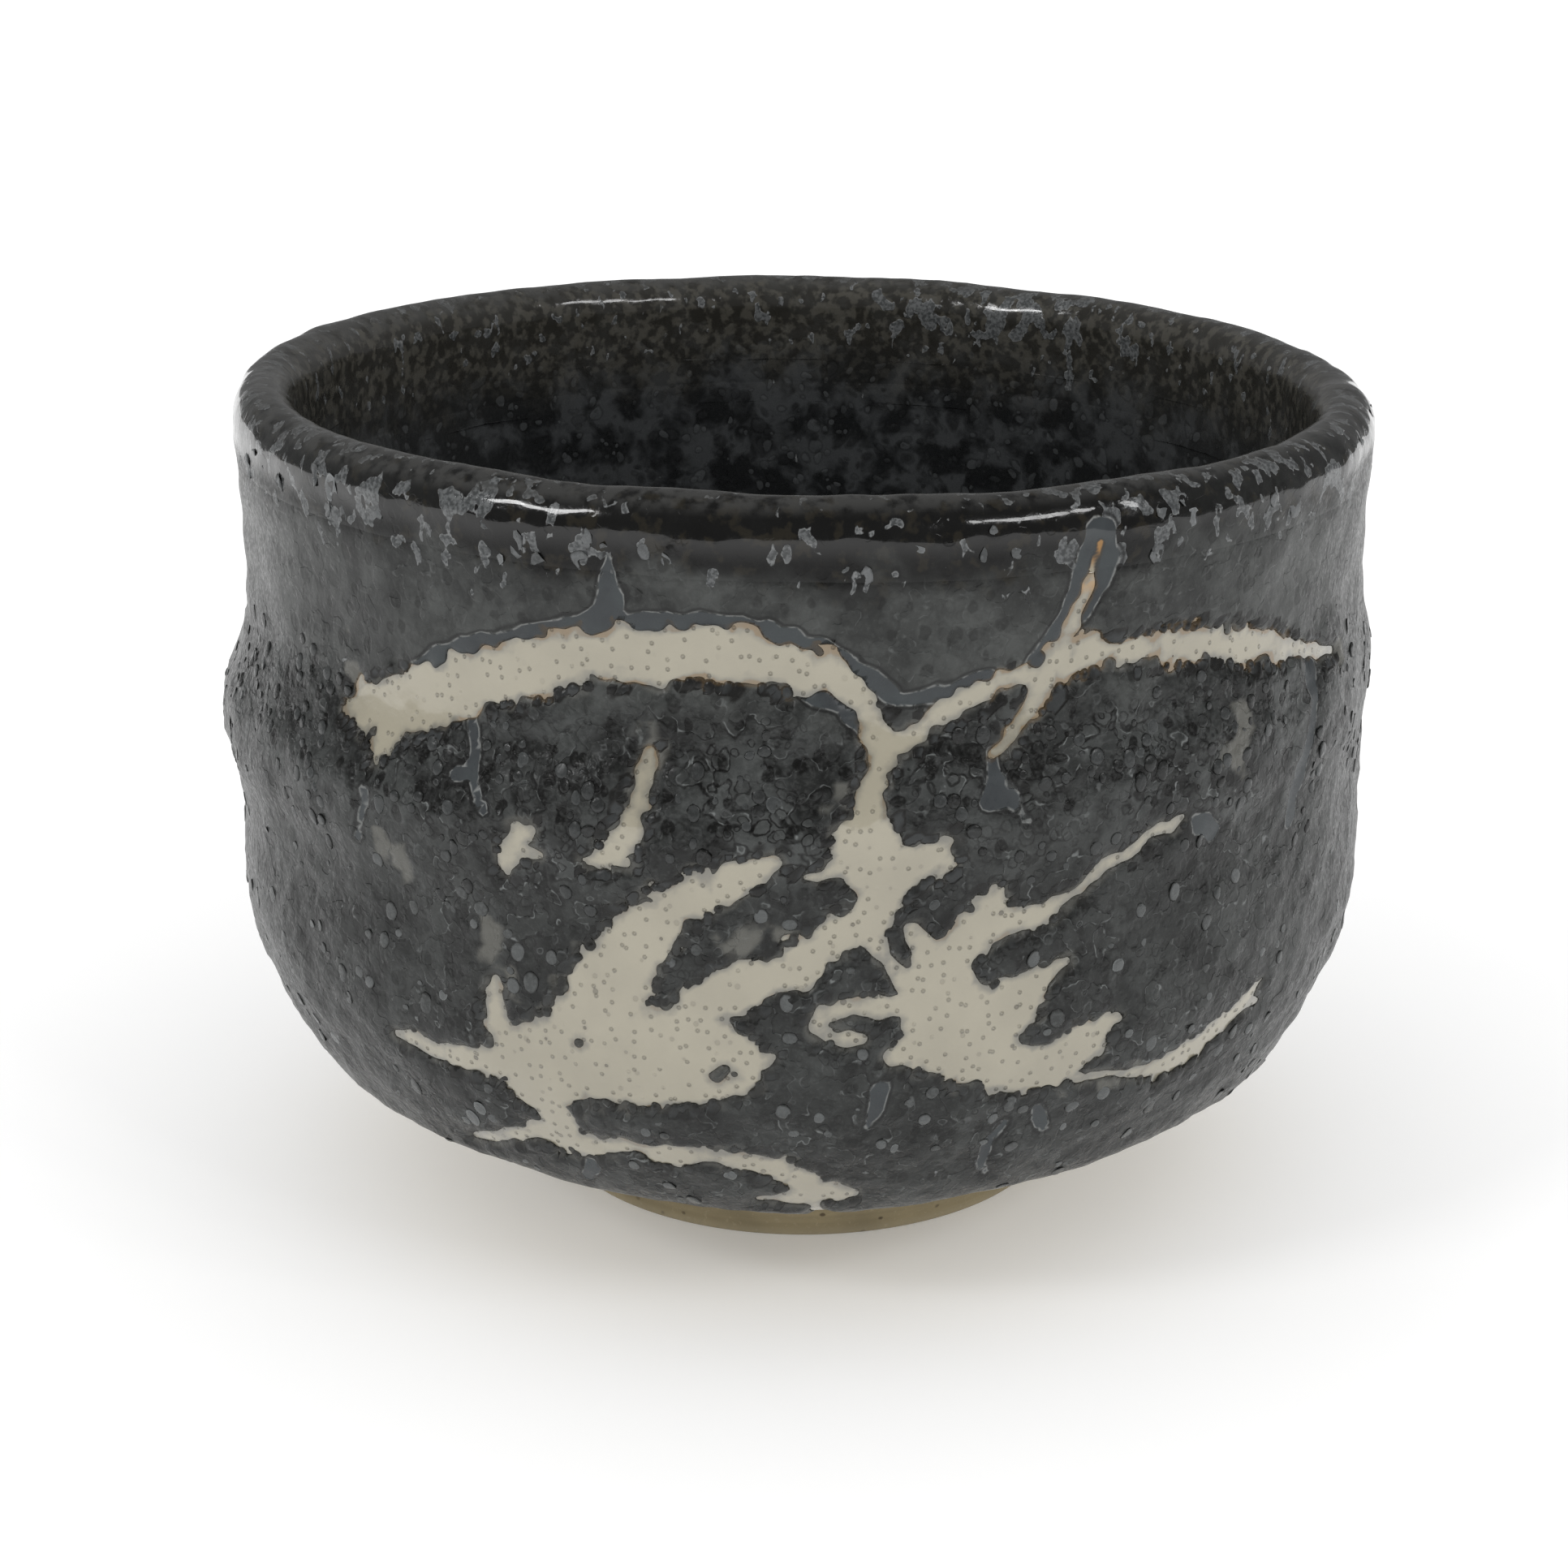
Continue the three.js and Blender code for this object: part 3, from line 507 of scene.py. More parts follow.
def clip(data, triangles, field):
    """The part of a mesh where one column of its vertex data is positive, cut cleanly along zero."""
    value = data[:, field]
    corners = (value > 0)[triangles]
    inside = corners.sum(axis=1)
    pieces = [triangles[inside == 3]]
    made = []
    for count in (1, 2):
        chosen = triangles[inside == count]
        flags = corners[inside == count]
        first = np.argmax(flags if count == 1 else ~flags, axis=1)
        turned = chosen[np.arange(len(chosen))[:, None], (first[:, None] + np.arange(3)) % 3]
        made.append((count, turned))
    odd = np.concatenate([turned[:, 0] for _, turned in made for _ in (0, 1)])
    other = np.concatenate([turned[:, side] for _, turned in made for side in (1, 2)])
    low, high = np.minimum(odd, other), np.maximum(odd, other)
    keys, where = np.unique(low * len(data) + high, return_inverse=True)
    a, b = keys // len(data), keys % len(data)
    share = (value[a] / (value[a] - value[b]))[:, None]
    added = data[a] + (data[b] - data[a]) * share
    added[:, field] = 0
    new = where + len(data)
    single, double = made[0][1], made[1][1]
    n = len(single)
    next_1, prev_1 = new[:n], new[n : 2 * n]
    m = len(double)
    next_2, prev_2 = new[2 * n : 2 * n + m], new[2 * n + m :]
    pieces.append(np.column_stack([single[:, 0], next_1, prev_1]))
    pieces.append(np.column_stack([next_2, double[:, 1], double[:, 2]]))
    pieces.append(np.column_stack([next_2, double[:, 2], prev_2]))
    kept = np.vstack(pieces)
    data = np.vstack([data, added])
    used, compact = np.unique(kept, return_inverse=True)
    return data[used], compact.reshape(-1, 3)


def signed_volume(vertices, triangles):
    a, b, c = (vertices[triangles[:, i]] for i in range(3))
    return np.einsum("ij,ij->i", a, np.cross(b, c)).sum()


def set_attribute(mesh, name, values):
    attribute = mesh.attributes.new(name, "FLOAT", "POINT")
    attribute.data.foreach_set("value", values.astype(np.float32))


def mesh_object(name, vertices, triangles, attributes, material):
    """A smooth mesh object in metres with its faces outwards."""
    if signed_volume(vertices, triangles) < 0:
        triangles = triangles[:, ::-1]
    mesh = bpy.data.meshes.new(name)
    mesh.from_pydata((vertices * MM).tolist(), [], triangles.tolist())
    for key, values in attributes.items():
        set_attribute(mesh, key, values)
    mesh.validate()
    mesh.shade_smooth()
    mesh.materials.append(material)
    piece = bpy.data.objects.new(name, mesh)
    bpy.context.scene.collection.objects.link(piece)
    return piece


def finish_piece(piece, node=None):
    """Hangs a finished piece on the bowl's one body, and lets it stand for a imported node."""
    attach(piece, BODY)
    if node:
        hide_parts(node)


def loft(form, line, angles, lift=None):
    """Vertices and triangles of a line turned round the axis, with a pole where the line meets the axis."""
    facing = normals(line)
    poles = [row for row in (0, len(line) - 1) if line[row, 0] < 1e-6]
    rows = np.array([row for row in range(len(line)) if row not in poles])
    radius = line[rows, 0][:, None] + np.zeros(len(angles))
    height = line[rows, 1][:, None] + np.zeros(len(angles))
    if lift is not None:
        points = form.place(radius, height, angles[None, :])
        row = rows[:, None] + np.zeros(len(angles))
        raised = lift(points, row, angles[None, :] + np.zeros((len(rows), 1)))
        radius = radius + facing[rows, 0][:, None] * raised
        height = height + facing[rows, 1][:, None] * raised
    vertices = form.place(radius, height, angles[None, :]).reshape(-1, 3)
    columns = len(angles)
    triangles = [grid_triangles(len(rows), columns)]
    around = np.arange(columns)
    for pole in poles:
        centre = len(vertices)
        vertices = np.vstack([vertices, [[0, 0, line[pole, 1]]]])
        ring = around if pole == 0 else around + (len(rows) - 1) * columns
        step = np.roll(ring, -1)
        pair = (step, ring) if pole == 0 else (ring, step)
        triangles.append(np.column_stack([np.full(columns, centre), *pair]))
    if not poles:
        last = (len(rows) - 1) * columns
        step = np.roll(around, -1)
        triangles.append(np.column_stack([last + around, last + step, step]))
        triangles.append(np.column_stack([last + around, step, around]))
    return vertices, np.vstack(triangles)


# Relief of the coats, in millimetres


def ground_relief(points):
    return 0.05 * waves(points, 9, 21) + 0.02 * waves(points, 3.4, 22)


def glaze_relief(points):
    """Slow swells of the throwing, and pebbles in the melt that are calmer near the lip."""
    height = points[..., 2]
    calm = smoothstep(63, 70, height)
    rings = 0.05 * np.sin(2 * math.pi * height / 5.4 + 0.6 * waves(points, 60, 31))
    swell = 0.09 * waves(points, 17, 32) + 0.05 * waves(points, 8, 33)
    pebbles = 0.04 * waves(points, 3.1, 34) + 0.028 * waves(points, 1.9, 35)
    return rings + swell + pebbles * (1 - 0.7 * calm)


def lining_relief(points):
    return 0.1 * waves(points, 15, 41) + 0.03 * waves(points, 4, 42)


def glaze_line(angle):
    """Height of the dark coat's wavy lower edge, which dips in front."""
    turn = (np.asarray(angle) + 180) % 360 - 180
    around = np.radians(turn)
    dip = 3.1 * np.exp(-((turn / 21) ** 2))
    ripple = 0.22 * np.sin(7 * around + 1) + 0.16 * np.sin(13 * around + 4) + 0.1 * np.sin(31 * around)
    return 16 - dip + ripple


def mark_distance(form, points, angle, height):
    """Distance outside the brushed marks, whose edges wander more where the brush was broad."""
    marks, width = stroke_distance(STROKES, angle, height)
    islands, _ = stroke_distance(ISLANDS, angle, height)
    wander = 0.75 * waves(points, 3.4, 11) + 0.5 * waves(points, 1.7, 12)
    ragged = form.raggedness * wander * np.clip(width / 1.6, 0.3, 1)
    return np.maximum(marks + ragged, 0.12 * wander - islands), wander


def mark_fields(form, points, angle, height):
    """Distances to the marks, smooth margins and hazy places, and the height of beads on the edge."""
    turn = (angle + 180) % 360 - 180
    marks, wander = mark_distance(form, points, turn, height)
    margins, _ = stroke_distance(MARGINS, turn, height)
    haze, _ = stroke_distance(HAZE, turn, height)
    arc = np.radians(turn) * MARKS_RADIUS
    bead = np.zeros(marks.shape)
    for spacing, seed, reach in ((1.25, 15, 0.6), (1.0, 16, 0.35)):
        distance, centre_arc, centre_height, own = scattered(arc, height, spacing, seed)
        centre, half = stroke_distance(STROKES, centre_arc / ARC, centre_height)
        apart, _ = stroke_distance(MARGINS, centre_arc / ARC, centre_height)
        radius = spacing * (0.36 + 0.24 * own)
        bite = np.clip(0.7 * (half - 0.7), 0, reach)
        kept = (centre > radius - bite) & (centre < 0.75) & (apart > 0.5)
        dome = np.where(kept, radius - distance, -9)
        marks = np.maximum(marks, dome)
        bead = np.maximum(bead, np.clip(dome / radius, 0, 1))
    crawl = 0.12 * waves(points, 2.2, 13) + 0.1 * waves(points, 5, 14)
    return marks, margins + crawl, haze + 2.2 * form.raggedness * wander, bead


# Node trees


def math_node(operation, swapped=False):
    """A method that joins a number and another value in a Math node."""

    def method(self, other=0):
        first, second = (other, self) if swapped else (self, other)
        return self.tree.number("ShaderNodeMath", {"operation": operation}, {0: first, 1: second})

    return method


class Number:
    """A number that runs through a node tree. Sums on it add Math nodes."""

    __add__ = math_node("ADD")
    __mul__ = math_node("MULTIPLY")
    __sub__ = math_node("SUBTRACT")
    __rsub__ = math_node("SUBTRACT", swapped=True)
    __abs__ = math_node("ABSOLUTE")
    at_least = math_node("MAXIMUM")
    turned_from = math_node("ARCTAN2")

    def __init__(self, tree, socket):
        self.tree = tree
        self.socket = socket

    def ramp(self, low, high, out_low=0.0, out_high=1.0):
        """Eases from out_low to out_high while this number goes from low to high."""
        sockets = {0: self, 1: low, 2: high, 3: out_low, 4: out_high}
        return self.tree.number("ShaderNodeMapRange", {"interpolation_type": "SMOOTHSTEP"}, sockets)

    def band(self, middle, reach):
        """One where this number is at middle, fading to nothing at reach to either side."""
        return abs(self - middle).ramp(0, reach, 1, 0)


class Tree:
    """A node tree with one short way to add a node."""

    def __init__(self, nodes_owner):
        self.tree = nodes_owner
        self.tree.nodes.clear()

    def node(self, kind, settings=None, sockets=None):
        """Adds a node with its settings, and its sockets, by index or name, set to values or links."""
        node = self.tree.nodes.new(kind)
        for key, value in (settings or {}).items():
            setattr(node, key, value)
        for key, value in (sockets or {}).items():
            socket = node.inputs[key]
            source = value.socket if isinstance(value, Number) else value
            if isinstance(source, bpy.types.NodeSocket):
                self.tree.links.new(source, socket)
            else:
                socket.default_value = source
        return node

    def number(self, kind, settings=None, sockets=None, output=0):
        return Number(self, self.node(kind, settings, sockets).outputs[output])

    def vector(self, operation, first, second):
        return self.node("ShaderNodeVectorMath", {"operation": operation}, {0: first, 1: second}).outputs[0]

    def random(self, low, high, seed):
        sockets = {2: low, 3: high, "Seed": seed}
        return self.number("FunctionNodeRandomValue", {"data_type": "FLOAT"}, sockets, output=1)

    def attribute(self, name):
        return self.number("ShaderNodeAttribute", {"attribute_name": name}, output="Fac")


class Finish(Tree):
    """A material's tree, with the patterns that clay and glaze are made of, in millimetres."""

    def __init__(self, name):
        self.material = bpy.data.materials.new(name)
        self.material.use_nodes = True
        super().__init__(self.material.node_tree)
        at = self.node("ShaderNodeTexCoord").outputs["Object"]
        self.point = self.scaled(at, (1 / MM, 1 / MM, 1 / MM))
        parts = self.node("ShaderNodeSeparateXYZ", sockets={0: self.point}).outputs
        across, depth, self.height = (Number(self, part) for part in parts)
        self.side = abs(across).turned_from(0 - depth) * (180 / math.pi)
        arc = across.turned_from(0 - depth) * MARKS_RADIUS
        self.unrolled = self.node("ShaderNodeCombineXYZ", None, {0: arc, 1: self.height}).outputs[0]
        self.radius = self.span(self.scaled(self.point, (1, 1, 0)))

    def span(self, vector):
        """A vector's length."""
        return self.number("ShaderNodeVectorMath", {"operation": "LENGTH"}, {0: vector}, output=1)

    def scaled(self, vector, factors):
        return self.vector("MULTIPLY", vector, factors)

    def shaken(self, vector, size, amount):
        """A vector pushed about by noise of a size, so that patterns on it lose their evenness."""
        sockets = {"Vector": vector, "Scale": 1 / size, "Detail": 1.0}
        noise = self.node("ShaderNodeTexNoise", None, sockets)
        centred = self.vector("SUBTRACT", noise.outputs[1], (0.5,) * 3)
        return self.vector("ADD", vector, self.scaled(centred, (amount,) * 3))

    def noise(self, vector, size, detail=2.0, roughness=0.5):
        sockets = {"Vector": vector, "Scale": 1 / size, "Detail": detail, "Roughness": roughness}
        return self.number("ShaderNodeTexNoise", None, sockets)

    def clouds(self, size, detail, low, high):
        """Noise over the object, eased from nothing at low to one at high."""
        return self.noise(self.point, size, detail).ramp(low, high)

    def cells(self, vector, size, dimensions="3D"):
        """Distance from the middle of scattered cells, in cells, and two random numbers for each."""
        settings = {"feature": "F1", "voronoi_dimensions": dimensions}
        node = self.node("ShaderNodeTexVoronoi", settings, {"Vector": vector, "Scale": 1 / size})
        own = self.node("ShaderNodeSeparateColor", None, {0: node.outputs["Color"]}).outputs
        return tuple(Number(self, socket) for socket in (node.outputs["Distance"], own[0], own[1]))

    def discs(self, vector, size, cover):
        """Round patches, one to a cell: their places, the gaps round them, their crowns, a random number."""
        distance, reach, own = self.cells(vector, size)
        radius = reach * 0.22 + cover
        inside = (radius - distance).ramp(0, 0.05)
        gap = (radius + 0.1 - distance).ramp(0, 0.06)
        crown = (radius - distance).ramp(0, 0.3)
        return inside, gap, crown, own

    def mix(self, factor, first, second):
        """One colour over another."""
        settings = {"data_type": "RGBA", "clamp_factor": True}
        under, over = ((*c, 1) if isinstance(c, tuple) else c for c in (first, second))
        return self.node("ShaderNodeMix", settings, {0: factor, 6: under, 7: over}).outputs[2]

    def surface(self, colour, roughness, relief, depth, gloss=0.5, coat=0.0, coat_roughness=0.05, glow=0.0):
        """Ends the tree in a coated surface whose relief is some millimetres deep."""
        heights = {"Strength": 1.0, "Distance": depth * MM, "Height": relief}
        sockets = {
            "Base Color": colour,
            "Roughness": roughness,
            "Normal": self.node("ShaderNodeBump", None, heights).outputs[0],
            "Specular IOR Level": gloss,
            "Coat Weight": coat,
            "Coat Roughness": coat_roughness,
        }
        if glow > 0:
            sockets.update({"Emission Color": (1, 1, 1, 1), "Emission Strength": glow})
        shader = self.node("ShaderNodeBsdfPrincipled", None, sockets).outputs[0]
        self.node("ShaderNodeOutputMaterial", None, {"Surface": shader})
        return self.material


def clay_finish(name, settings):
    """Bare khaki stoneware: turning rings, sand grains, iron specks and a rubbed, paler foot."""
    tree = Finish(name)
    clay = tuple(settings.clay)
    grain = tree.noise(tree.point, 0.5, 3)
    rings = tree.noise(tree.scaled(tree.point, (0.02, 0.02, 1)), 0.7, 2)
    speck, own, _ = tree.cells(tree.point, 2.1)
    iron = speck.ramp(0.1, 0.2, 1, 0) * own.ramp(0.62, 0.7)
    worn = tree.height.ramp(0.2, 1.4, 1, 0)
    colour = tree.mix(tree.clouds(9, 3, 0.3, 0.7), shade(clay, 0.82), shade(clay, 1.18))
    colour = tree.mix(rings.ramp(0.35, 0.65) * 0.35, colour, shade(clay, 0.72))
    colour = tree.mix(grain.ramp(0.55, 0.75) * 0.35, colour, (0.42, 0.37, 0.27))
    colour = tree.mix(iron * 0.8, colour, (0.05, 0.03, 0.018))
    colour = tree.mix(worn * 0.45, colour, (0.4, 0.35, 0.25))
    relief = grain * 0.5 + rings * 0.8 - iron * 0.3
    return tree.surface(colour, grain.ramp(0.3, 0.7, 0.62, 0.82), relief, 0.12, gloss=0.35)


def rusty_places(tree):
    """Where iron gathers beside the wax: here and there on the upper wall."""
    return tree.height.ramp(60, 64) * tree.clouds(5, 2, 0.42, 0.56)


def cream_finish(name, settings):
    """Cream ground: milky clouds, pinholes, bubbles, grey towards the dark coat and a rusty fringe."""
    tree = Finish(name)
    cream = tuple(settings.cream)
    cloud = tree.noise(tree.point, 7, 3)
    fine = tree.noise(tree.point, 1.1, 2)
    hole, size, own = tree.cells(tree.unrolled, 1.9, "2D")
    bold = own.ramp(0.88, 0.92) * 0.65 + 0.35
    chosen = own.ramp(0.66, 0.7) * bold * tree.height.ramp(50, 58, 0.85, 0.15)
    pit = (hole - size * 0.08).ramp(0.03, 0.1, 1, 0) * chosen
    halo = hole.ramp(0.1, 0.3, 1, 0) * chosen
    blister, _, other = tree.cells(tree.scaled(tree.unrolled, (1.1, 1.1, 1)), 1.5, "2D")
    bubble = blister.ramp(0.0, 0.2, 1, 0) * other.ramp(0.3, 0.5)
    edge = tree.attribute("mark") + (fine - 0.5) * 0.9
    stray = tree.clouds(4, 2, 0.56, 0.66) * 0.5
    rusty = edge.ramp(-0.3, -0.05) * rusty_places(tree).at_least(stray)
    colour = tree.mix(cloud.ramp(0.3, 0.7), shade(cream, 0.93), shade(cream, 1.04))
    colour = tree.mix(edge.ramp(-0.85, 0.15) * 0.8, colour, (0.13, 0.127, 0.112))
    colour = tree.mix(rusty * 0.6, colour, tuple(settings.rust))
    colour = tree.mix(halo * 0.22, colour, (0.2, 0.18, 0.14))
    colour = tree.mix(pit * 0.8, colour, (0.06, 0.052, 0.036))
    line = tree.height.ramp(75.8, 77.6) * tree.clouds(1.3, 1, 0.35, 0.6)
    colour = tree.mix(line * 0.7, colour, RUSTY_LINE)
    relief = cloud + fine * 0.4 - pit * 0.8 + bubble * 1.8
    return tree.surface(colour, 0.22, relief, 0.16, gloss=0.5, coat=0.9, coat_roughness=0.05)


def wall_zones(tree):
    """How far a place belongs to the belt, the calm upper wall and the night-black lip, whose black is
    weakened towards the sides as painted sheen. Borders wander.
    """
    drift = tree.noise(tree.point, 11, 3)
    patch = tree.noise(tree.point, 5.5, 3)
    height = tree.height + (drift - 0.5) * 10
    upper = height.ramp(64.5, 68)
    belt = height.ramp(49.5, 54.5) * (1 - upper)
    lip = (tree.height + (patch - 0.5) * 9 + (drift - 0.5) * 5).ramp(77, 81.4)
    # Painted sheen: the lip's black is weakened towards the sides, where the glossy lip mirrors the bright
    # surroundings.
    return belt, upper, lip * (1 - tree.side.ramp(26, 52) * 0.25), patch


def outside_pattern(tree):
    """Clouded charcoal melt: patches that crowd in front, dark eyes, a calm upper wall and a black lip."""
    belt, upper, lip, patch = wall_zones(tree)
    crowd = tree.clouds(12, 2, 0.4, 0.6) * 0.6 + 0.4
    busy = crowd * (1 - upper * 0.7) * (1 - tree.side.ramp(36, 58) * 0.55)
    dim = tree.mix(belt, (0.007, 0.0074, 0.007), (0.0028, 0.0028, 0.0025))
    dim = tree.mix(upper, dim, (0.0145, 0.0155, 0.0148))
    pale = tree.mix(belt, (0.037, 0.0395, 0.038), (0.052, 0.0555, 0.054))
    pale = tree.mix(upper, pale, (0.056, 0.059, 0.0565))
    gap_colour = tree.mix(belt, (0.0065, 0.0065, 0.006), (0.0025, 0.0024, 0.002))
    bent = tree.shaken(tree.shaken(tree.point, 2.4, 1.1), 0.7, 0.4)
    cloud = tree.noise(tree.shaken(tree.point, 7, 5), 6.5, 4, 0.6).ramp(0.4, 0.62)
    streak = tree.noise(tree.scaled(bent, (1, 1, 0.3)), 2.4, 3).ramp(0.35, 0.65)
    mottle = tree.noise(bent, 1.7, 3).ramp(0.38, 0.62)
    colour = tree.mix(cloud * 0.55 + streak * 0.2 + mottle * 0.25, dim, pale)
    blob = tree.noise(tree.shaken(bent, 1.2, 0.5), 2.6, 1.2)
    island = blob.ramp(0.535, 0.56)
    gap_depth = belt * 0.35 + 0.55
    colour = tree.mix(blob.band(0.515, 0.04) * busy * gap_depth, colour, gap_colour)
    colour = tree.mix(island * busy * 0.7, colour, tree.mix(cloud * 0.6 + 0.45, dim, pale))
    broken = tree.clouds(1.1, 1, 0.48, 0.6)
    colour = tree.mix(blob.band(0.553, 0.018) * broken * busy * 0.8, colour, (0.17, 0.18, 0.178))
    relief = mottle * 0.35 + cloud * 0.3 + island * 0.5
    for size, cover, shift in ((2.0, 0.18, (31, 17, 5)), (1.3, 0.13, (11, 47, 23))):
        cover = (patch - 0.5) * 0.6 + cover
        inside, gap, crown, own = tree.discs(tree.vector("ADD", bent, shift), size, cover)
        rim = (gap - inside).at_least(0)
        tone = tree.mix(own * 0.5 + cloud * 0.6, dim, pale)
        colour = tree.mix(rim * busy * gap_depth, colour, gap_colour)
        colour = tree.mix(inside * busy * 0.8, colour, tone)
        colour = tree.mix(rim * own.ramp(0.7, 0.8) * mottle * busy * 0.3, colour, PATCH_EDGE)
        relief = relief * (1 - inside * busy) + inside * busy * (crown * 0.5 + 0.3)
    drawn_out = tree.scaled(tree.shaken(tree.unrolled, 1.5, 1.1), (1, 0.8, 1))
    speck, size, own = tree.cells(drawn_out, 2.3, "2D")
    spot = (speck - size * 0.14).ramp(0.1, 0.2, 1, 0) * own.ramp(0.45, 0.5)
    colour = tree.mix(spot * (belt * 0.45 + 0.45), colour, (0.003, 0.003, 0.0026))
    grit = tree.noise(tree.point, 0.45, 2)
    colour = tree.mix(grit.ramp(0.5, 0.75) * 0.1, colour, (0.15, 0.157, 0.152))
    night = tree.mix(tree.clouds(1.6, 3, 0.52, 0.64), (0.0025, 0.0024, 0.0022), (0.0125, 0.0105, 0.0068))
    colour = tree.mix(lip * 0.96, colour, night)
    relief = relief * (1 - upper * 0.5) * (1 - lip * 0.7) + grit * 0.12 - spot * 0.15
    return colour, relief, grit.ramp(0.3, 0.7, 0.26, 0.42)


def flakes(tree, colour, relief, share):
    """Silver-grey crystals with broken edges, as thick as their share says."""
    broken = tree.shaken(tree.shaken(tree.scaled(tree.point, (1, 1, 0.7)), 1.6, 0.9), 0.5, 0.3)
    field = tree.noise(broken, 1.7, 1.5)
    grown = field + (share - 1) * 0.2
    flake = grown.ramp(0.575, 0.6)
    rim = grown.band(0.595, 0.018)
    grain = tree.noise(tree.point, 0.35, 2)
    tone = tree.mix(grain.ramp(0.35, 0.65), CRYSTAL_DIM, CRYSTAL_PALE)
    colour = tree.mix(flake * 0.9, colour, tone)
    colour = tree.mix(rim * grain.ramp(0.4, 0.5) * 0.6, colour, (0.2, 0.205, 0.205))
    return colour, relief * (1 - flake) + flake * (grain * 0.4 + 0.5)


def outer_wall(tree, settings):
    """The charcoal melt, its crystals towards the lip, and what lies beside the wax."""
    colour, relief, roughness = outside_pattern(tree)
    colour, relief = flakes(tree, colour, relief, flake_share(tree))
    return *mark_edges(tree, settings, colour, relief), roughness


def outer_glaze_finish(name, settings):
    """Charcoal coat with the traces that the wax left beside the marks."""
    tree = Finish(name)
    colour, relief, roughness = outer_wall(tree, settings)
    return tree.surface(colour, roughness, relief, 0.16, gloss=0.27)


def flake_share(tree):
    """Outside, the crystals thicken from the calm wall up to the lip, and away from its middle in front."""
    return tree.height.ramp(75, 81) * (tree.side.ramp(8, 30) * 0.42 + 0.68)


def mark_edges(tree, settings, colour, relief):
    """Haze, smooth margins with a painted highlight along the crawled edge, and dark beads and a rusty
    fringe beside the wax.
    """
    mark, margin, haze, bead = (tree.attribute(name) for name in MARK_FIELDS)
    fine = tree.noise(tree.point, 0.9, 2)
    thin = (haze + (fine - 0.5) * 1.2).ramp(0.7, -1.0)
    soft = mark.ramp(0.9, 0.0) * (tree.clouds(3.5, 2, 0.42, 0.56) * 0.7 + 0.3)
    colour = tree.mix(thin.at_least(soft * 0.8) * 0.75, colour, (0.12, 0.118, 0.105))
    smooth = margin.ramp(0.08, -0.06)
    slate = tree.mix(tree.clouds(3, 2, 0.3, 0.7), (0.036, 0.04, 0.043), tuple(settings.slate))
    colour = tree.mix(smooth, colour, slate)
    colour = tree.mix(margin.band(0.28, 0.26) * 0.75, colour, (0.009, 0.009, 0.009))
    # Painted highlight: a pale line along the crawled edge, where the raised edge catches the light.
    line = margin.band(0.02, 0.13) * fine.ramp(0.4, 0.58)
    colour = tree.mix(line * 0.8, colour, (0.2, 0.205, 0.2))
    crest = tree.mix(tree.clouds(2.2, 1, 0.4, 0.6), (0.011, 0.011, 0.0105), (0.036, 0.039, 0.04))
    deep = tree.height.ramp(46, 54) * 0.4 + 0.45
    colour = tree.mix(bead.ramp(0, 0.1) * deep, colour, (0.0075, 0.007, 0.0062))
    colour = tree.mix(bead.ramp(0.16, 0.4) * deep, colour, crest)
    fringe = (mark + (fine - 0.5) * 0.5).ramp(0.35, 0.1)
    fringe_colour = tree.mix(rusty_places(tree), (0.014, 0.0125, 0.010), shade(settings.rust, 0.5))
    colour = tree.mix(fringe * 0.4, colour, fringe_colour)
    return colour, relief * (1 - smooth) * (1 - bead.ramp(0, 0.3)) - thin * 0.2


def inside_pattern(tree):
    """Charcoal lining: blurred mottling with dark eyes, painted sheen that leaves it paler everywhere but on
    the far back wall, brown under the lip.
    """
    bent = tree.shaken(tree.shaken(tree.point, 5, 3), 1.6, 0.8)
    soft = tree.noise(bent, 3.6, 3).ramp(0.4, 0.62)
    colour = tree.mix(soft, (0.010, 0.0107, 0.0112), (0.044, 0.0465, 0.048))
    relief = soft * 0.4
    for size, cover, shift in ((2.4, 0.17, (5, 9, 2)), (1.5, 0.15, (13, 3, 31))):
        inside, gap, crown, own = tree.discs(tree.vector("ADD", bent, shift), size, cover)
        tone = tree.mix(own.ramp(0.3, 0.8), (0.0135, 0.0142, 0.0148), (0.066, 0.07, 0.072))
        colour = tree.mix(gap * 0.35, colour, (0.005, 0.005, 0.005))
        colour = tree.mix(inside * 0.6, colour, tone)
        relief = relief + inside * crown * 0.3
    grit = tree.noise(tree.point, 0.45, 2)
    colour = tree.mix(grit.ramp(0.58, 0.75) * 0.1, colour, (0.1, 0.1, 0.1))
    # Painted sheen: the lining is lightened everywhere but on the far back wall, as its glossy sides look
    # with reflections.
    colour = tree.mix(tree.side.ramp(150, 118) * 0.16, colour, (0.07, 0.072, 0.07))
    under_lip = (tree.height + (tree.noise(tree.point, 6, 2) - 0.5) * 9).ramp(71, 81)
    brown = tree.mix(tree.clouds(1.2, 3, 0.45, 0.62), (0.022, 0.0205, 0.0165), (0.066, 0.062, 0.051))
    colour = tree.mix(under_lip * 0.8, colour, brown)
    return colour, relief + grit * 0.1, grit.ramp(0.3, 0.7, 0.24, 0.36)


def inner_wall(tree):
    """The lining with the flakes under the inner lip, thickest at the back on the right."""
    colour, relief, roughness = inside_pattern(tree)
    thick = tree.span(tree.vector("SUBTRACT", tree.point, (25, 45, 80))).ramp(10, 24, 1.25, 0.72)
    return *flakes(tree, colour, relief, tree.height.ramp(72, 82) * thick), roughness


def lining_finish(name):
    """The lining's own finish."""
    tree = Finish(name)
    colour, relief, roughness = inner_wall(tree)
    return tree.surface(colour, roughness, relief, 0.12, gloss=0.4)


